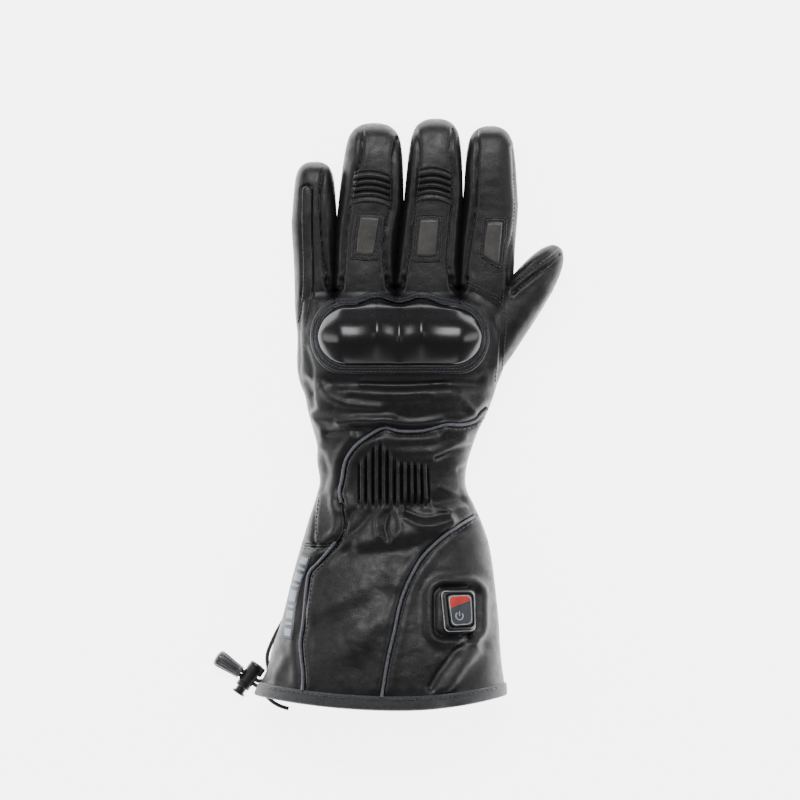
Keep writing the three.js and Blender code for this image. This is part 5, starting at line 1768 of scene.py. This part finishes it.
class GLOVE_OT_seams(bpy.types.Operator):
    """Sews the fingers, the thumb, the strips and the side gusset"""

    bl_idname = "glove.seams"
    bl_label = "Seams"

    def execute(self, context):
        rows = []
        for name, lines in FINGER_SEAMS.items():
            for k, line in enumerate(lines):
                seam = finger_plan(name, curve_through(line))
                inward = 1.3 if (k == 1 or name == "little") else -1.3
                rows.append(beside(seam, inward)[6:-8])
        threads("finger_stitches", rows, pitch=2.4, radius=0.2)
        strips = [beside(LITTLE_BAND, side) for side in BAND_EDGES]
        strips += [beside(PLAIN_SEAMS["index_strip"], side) for side in (1.5, 3.2)]
        strips += [beside(PLAIN_SEAMS["gusset"], side) for side in (1.6, -1.8)]
        strips += [beside(PLAIN_SEAMS["wrist"], 1.6), beside(PLAIN_SEAMS["index_end"], 1.4)]
        threads("strip_stitches", strips, pitch=2.3, radius=0.26)
        sewn = [beside(line, 1.3)[4:-4] for line in THUMB_SEAMS[:2]]
        threads("thumb_stitches", sewn, pitch=2.3)
        return {"FINISHED"}


class GLOVE_OT_binding(bpy.types.Operator):
    """Folds the woven binding over the hem"""

    bl_idname = "glove.binding"
    bl_label = "Hem binding"

    # Section of the binding: distance into the cuff from the hem, and off the leather
    SECTION = [
        (6.3, -0.2), (6.25, 0.8), (5.6, 1.3), (3.0, 1.5), (0.8, 1.5), (-0.7, 1.1), (-1.3, -0.2),
        (-1.3, -2.0), (-0.6, -3.2), (1.0, -3.6), (4.6, -3.4), (5.4, -3.0),
    ]

    def execute(self, context):
        section = spaced(curve_through(self.SECTION, 5), 0.45)
        steps = len(section) - 1

        def place(u, v):
            back, off = section[np.rint(v * steps).astype(int)].T
            turn = np.where(u < 0.6, TOP_TURNS(u / 0.6), UNDER_TURNS((u - 0.6) / 0.4))
            inside = np.maximum(back, 0)
            along = 2 - inside / CUFF_LENGTH
            little, thumb, top, lift, square = trunk_section(along)
            n = np.sin(turn)
            across = power(np.cos(turn), 2 / np.where(n >= 0, square, UNDER_SQUARE))
            flat = np.column_stack([across * 80, back * 3, n * 30])
            off = off + 0.2 * wrinkles(flat, 9, (1, 1)) * (off > -2)
            reach = np.where(across < 0, little, thumb) + off
            crown = top + off + fold_rise(across, along) - SEAM_HEIGHT
            up = SEAM_HEIGHT + crown * np.maximum(n, 0) ** (2 / square)
            down = np.maximum(lift - off, under_drop(np.minimum(n, 0)))
            y = trunk_y(across, along) + np.minimum(back, 0)
            return np.column_stack([across * reach, y, np.where(n >= 0, up, np.maximum(down, 0.1))])

        tape = close_up(drape(420, steps, place))
        mark_skin(piece("hem_tape", tape, "grosgrain_binding", ["hem_binding"]))
        along = np.full(220, 2 - 4.6 / CUFF_LENGTH)
        across = np.linspace(-0.93, 0.965, 220)
        little, thumb, _, _, _ = trunk_section(along)
        row = np.column_stack([across * np.where(across < 0, little, thumb), trunk_y(across, along)])
        threads("hem_stitches", [row])
        return {"FINISHED"}


class GLOVE_OT_label(bpy.types.Operator):
    """Lays the moulded rubber strip on the little finger's side, with plain bars"""

    bl_idname = "glove.label"
    bl_label = "Side label"

    # Start and end of each bar, as shares of the strip's length
    BARS = [
        (0.03, 0.13), (0.16, 0.2), (0.23, 0.33), (0.36, 0.4), (0.43, 0.57), (0.6, 0.64), (0.67, 0.77),
        (0.8, 0.84), (0.87, 0.97),
    ]

    def execute(self, context):
        line = spaced(plan(curve_through(LABEL_LINE)), 0.4)
        length = len(line)

        def strip(half, low, high, start, end):
            """A raised strip along the line, between two shares of its length."""
            lines = [beside(line, side) for side in np.linspace(-half, half, 9)]

            def place(u, v):
                k = np.rint(mix(start, end, v) * (length - 1)).astype(int)
                edge = np.minimum(u, 1 - u) > 0.01
                inner = (v > 0.001) & (v < 0.999)
                spots = np.array([lines[int(round(a * 8))][b] for a, b in zip(u, k)])
                return dropped(spots, np.where(edge & inner, high, low))

            rows = int((end - start) * (length - 1))
            return face_up(drape(8, max(2, rows), place))

        base = strip(3.5, -0.6, 0.75, 0, 1)
        piece("label_backing", base, "label_rubber_black", ["side_label"], sharp=40)
        bars = bmesh.new()
        for start, end in self.BARS:
            add_in(bars, strip(2.3, 0.3, 1.15, start, end))
        piece("label_bars", bars, "label_rubber_pale", sharp=40)
        return {"FINISHED"}


class GLOVE_OT_button(bpy.types.Operator):
    """Makes the heating button with its bezel"""

    bl_idname = "glove.button"
    bl_label = "Heating button"

    def execute(self, context):
        seat = button_frame()
        low, high = 1.6 + BUTTON_TRAVEL, 4.8
        rim = high - 0.5
        bezel = moulding([
            (BUTTON_RIM, -1.6), (BUTTON_RIM, 0.9), (BUTTON_RIM - 0.3, 1.3), (1.6, rim - 0.7),
            (1.1, rim), (0.7, rim), (0.4, rim - 0.4), (0.4, 1.35), (-3, 1.3), (-3, -1.6),
        ])
        put(bezel, seat)
        nodes = ["button_bezel"]
        piece("button_surround", bezel, "moulded_nylon", nodes, sharp=35)
        edge = BUTTON_RIM - 0.1
        ring = moulding(
            [(edge, 1.0), (edge, 1.5), (edge - 0.2, 1.75), (edge - 0.5, 1.7), (edge - 0.6, 1.0)],
            band=True,
        )
        piece("button_trim_ring", put(ring, seat), "bright_metal_trim", sharp=35)
        cap = moulding([
            (-3.5, low), (-0.4, low), (0.0, low + 0.3), (0.0, high - 0.5), (-0.15, high - 0.15),
            (-0.55, high), (-3.5, high + 0.05),
        ])
        put(cap, seat)
        nodes = ["heat_button"]
        piece("button_cap", cap, "moulded_nylon", nodes, "button", sharp=35)
        border = moulding(
            [(-0.75, high - 0.2), (-0.75, high + 0.2), (-1.15, high + 0.2), (-1.15, high - 0.2)],
            band=True,
        )
        put(border, seat)
        piece("button_face_border", border, "bright_metal_trim", body="button", sharp=35)
        self.lens(seat, high)
        return {"FINISHED"}

    def lens(self, seat, high):
        """The cap's two-coloured face with a plain power mark."""
        outline = button_outline(-1.15, 240)
        for name, finish_name, red in (
            ("button_face_upper", "pad_printed_red", True),
            ("button_face_lower", "pad_printed_grey", False),
        ):
            climb = np.clip((outline[:, 0] + 7) / 14, 0, 1) ** 0.75
            bound = mix(-0.6, outline[:, 1].max() - 2.6, climb)
            side = outline[:, 1] > bound if red else outline[:, 1] <= bound
            y = np.where(side, outline[:, 1], bound)
            bm = bmesh.new()
            bm.faces.new([bm.verts.new((px, py, high - 0.1)) for px, py in zip(outline[:, 0], y)])
            bmesh.ops.remove_doubles(bm, verts=bm.verts, dist=0.02)
            made = bmesh.ops.extrude_face_region(bm, geom=bm.faces[:])["geom"]
            raised = [g for g in made if isinstance(g, bmesh.types.BMVert)]
            bmesh.ops.translate(bm, vec=(0, 0, 0.24), verts=raised)
            bmesh.ops.recalc_face_normals(bm, faces=bm.faces)
            piece(name, put(bm, seat), finish_name, body="button", sharp=30)
        turns = np.linspace(math.radians(130), math.radians(410), 40)
        top = high + 0.15
        ring = np.column_stack([2.2 * np.cos(turns), 2.2 * np.sin(turns) - 3.4, np.full(40, top)])
        bar = np.column_stack([np.zeros(8), np.linspace(-3.4, -0.6, 8), np.full(8, top)])
        mark = bmesh.new()
        for line in (ring, bar):
            add_in(mark, tube(capped(line, 0.32), 0.32, 8))
        bmesh.ops.scale(mark, vec=(1 / MM,) * 3, verts=mark.verts)
        put(mark, seat)
        piece("button_power_mark", mark, "bright_metal_trim", body="button")


class GLOVE_PT_panel(bpy.types.Panel):
    """Lists the settings and the steps in the sidebar"""

    bl_idname = "GLOVE_PT_panel"
    bl_label = "Heated glove"
    bl_space_type = "VIEW_3D"
    bl_region_type = "UI"
    bl_category = "Glove"

    def draw(self, context):
        for group in (context.scene.glove_sizes, context.scene.glove_finishes):
            for name in group.bl_rna.properties.keys():
                if name not in ("rna_type", "name"):
                    self.layout.prop(group, name)
        for step in STEPS:
            self.layout.operator(step.bl_idname)


STEPS = [
    GLOVE_OT_stage, GLOVE_OT_drawcords, GLOVE_OT_fingers, GLOVE_OT_panels, GLOVE_OT_thumb,
    GLOVE_OT_lining, GLOVE_OT_binding, GLOVE_OT_guard, GLOVE_OT_patches, GLOVE_OT_piping,
    GLOVE_OT_seams, GLOVE_OT_label, GLOVE_OT_button,
]
CLASSES = [GLOVE_PG_sizes, GLOVE_PG_finishes, *STEPS, GLOVE_PT_panel]


def register():
    for cls in CLASSES:
        bpy.utils.register_class(cls)
    bpy.types.Scene.glove_sizes = PointerProperty(type=GLOVE_PG_sizes)
    bpy.types.Scene.glove_finishes = PointerProperty(type=GLOVE_PG_finishes)


def unregister():
    del bpy.types.Scene.glove_finishes
    del bpy.types.Scene.glove_sizes
    for cls in reversed(CLASSES):
        bpy.utils.unregister_class(cls)


def main():
    register()
    bpy.ops.glove.stage()
    bpy.ops.glove.drawcords()
    bpy.ops.glove.fingers()
    bpy.ops.glove.panels()
    bpy.ops.glove.thumb()
    bpy.ops.glove.lining()
    bpy.ops.glove.binding()
    bpy.ops.glove.guard()
    bpy.ops.glove.patches()
    bpy.ops.glove.piping()
    bpy.ops.glove.seams()
    bpy.ops.glove.label()
    bpy.ops.glove.button()


if __name__ == "__main__":
    main()
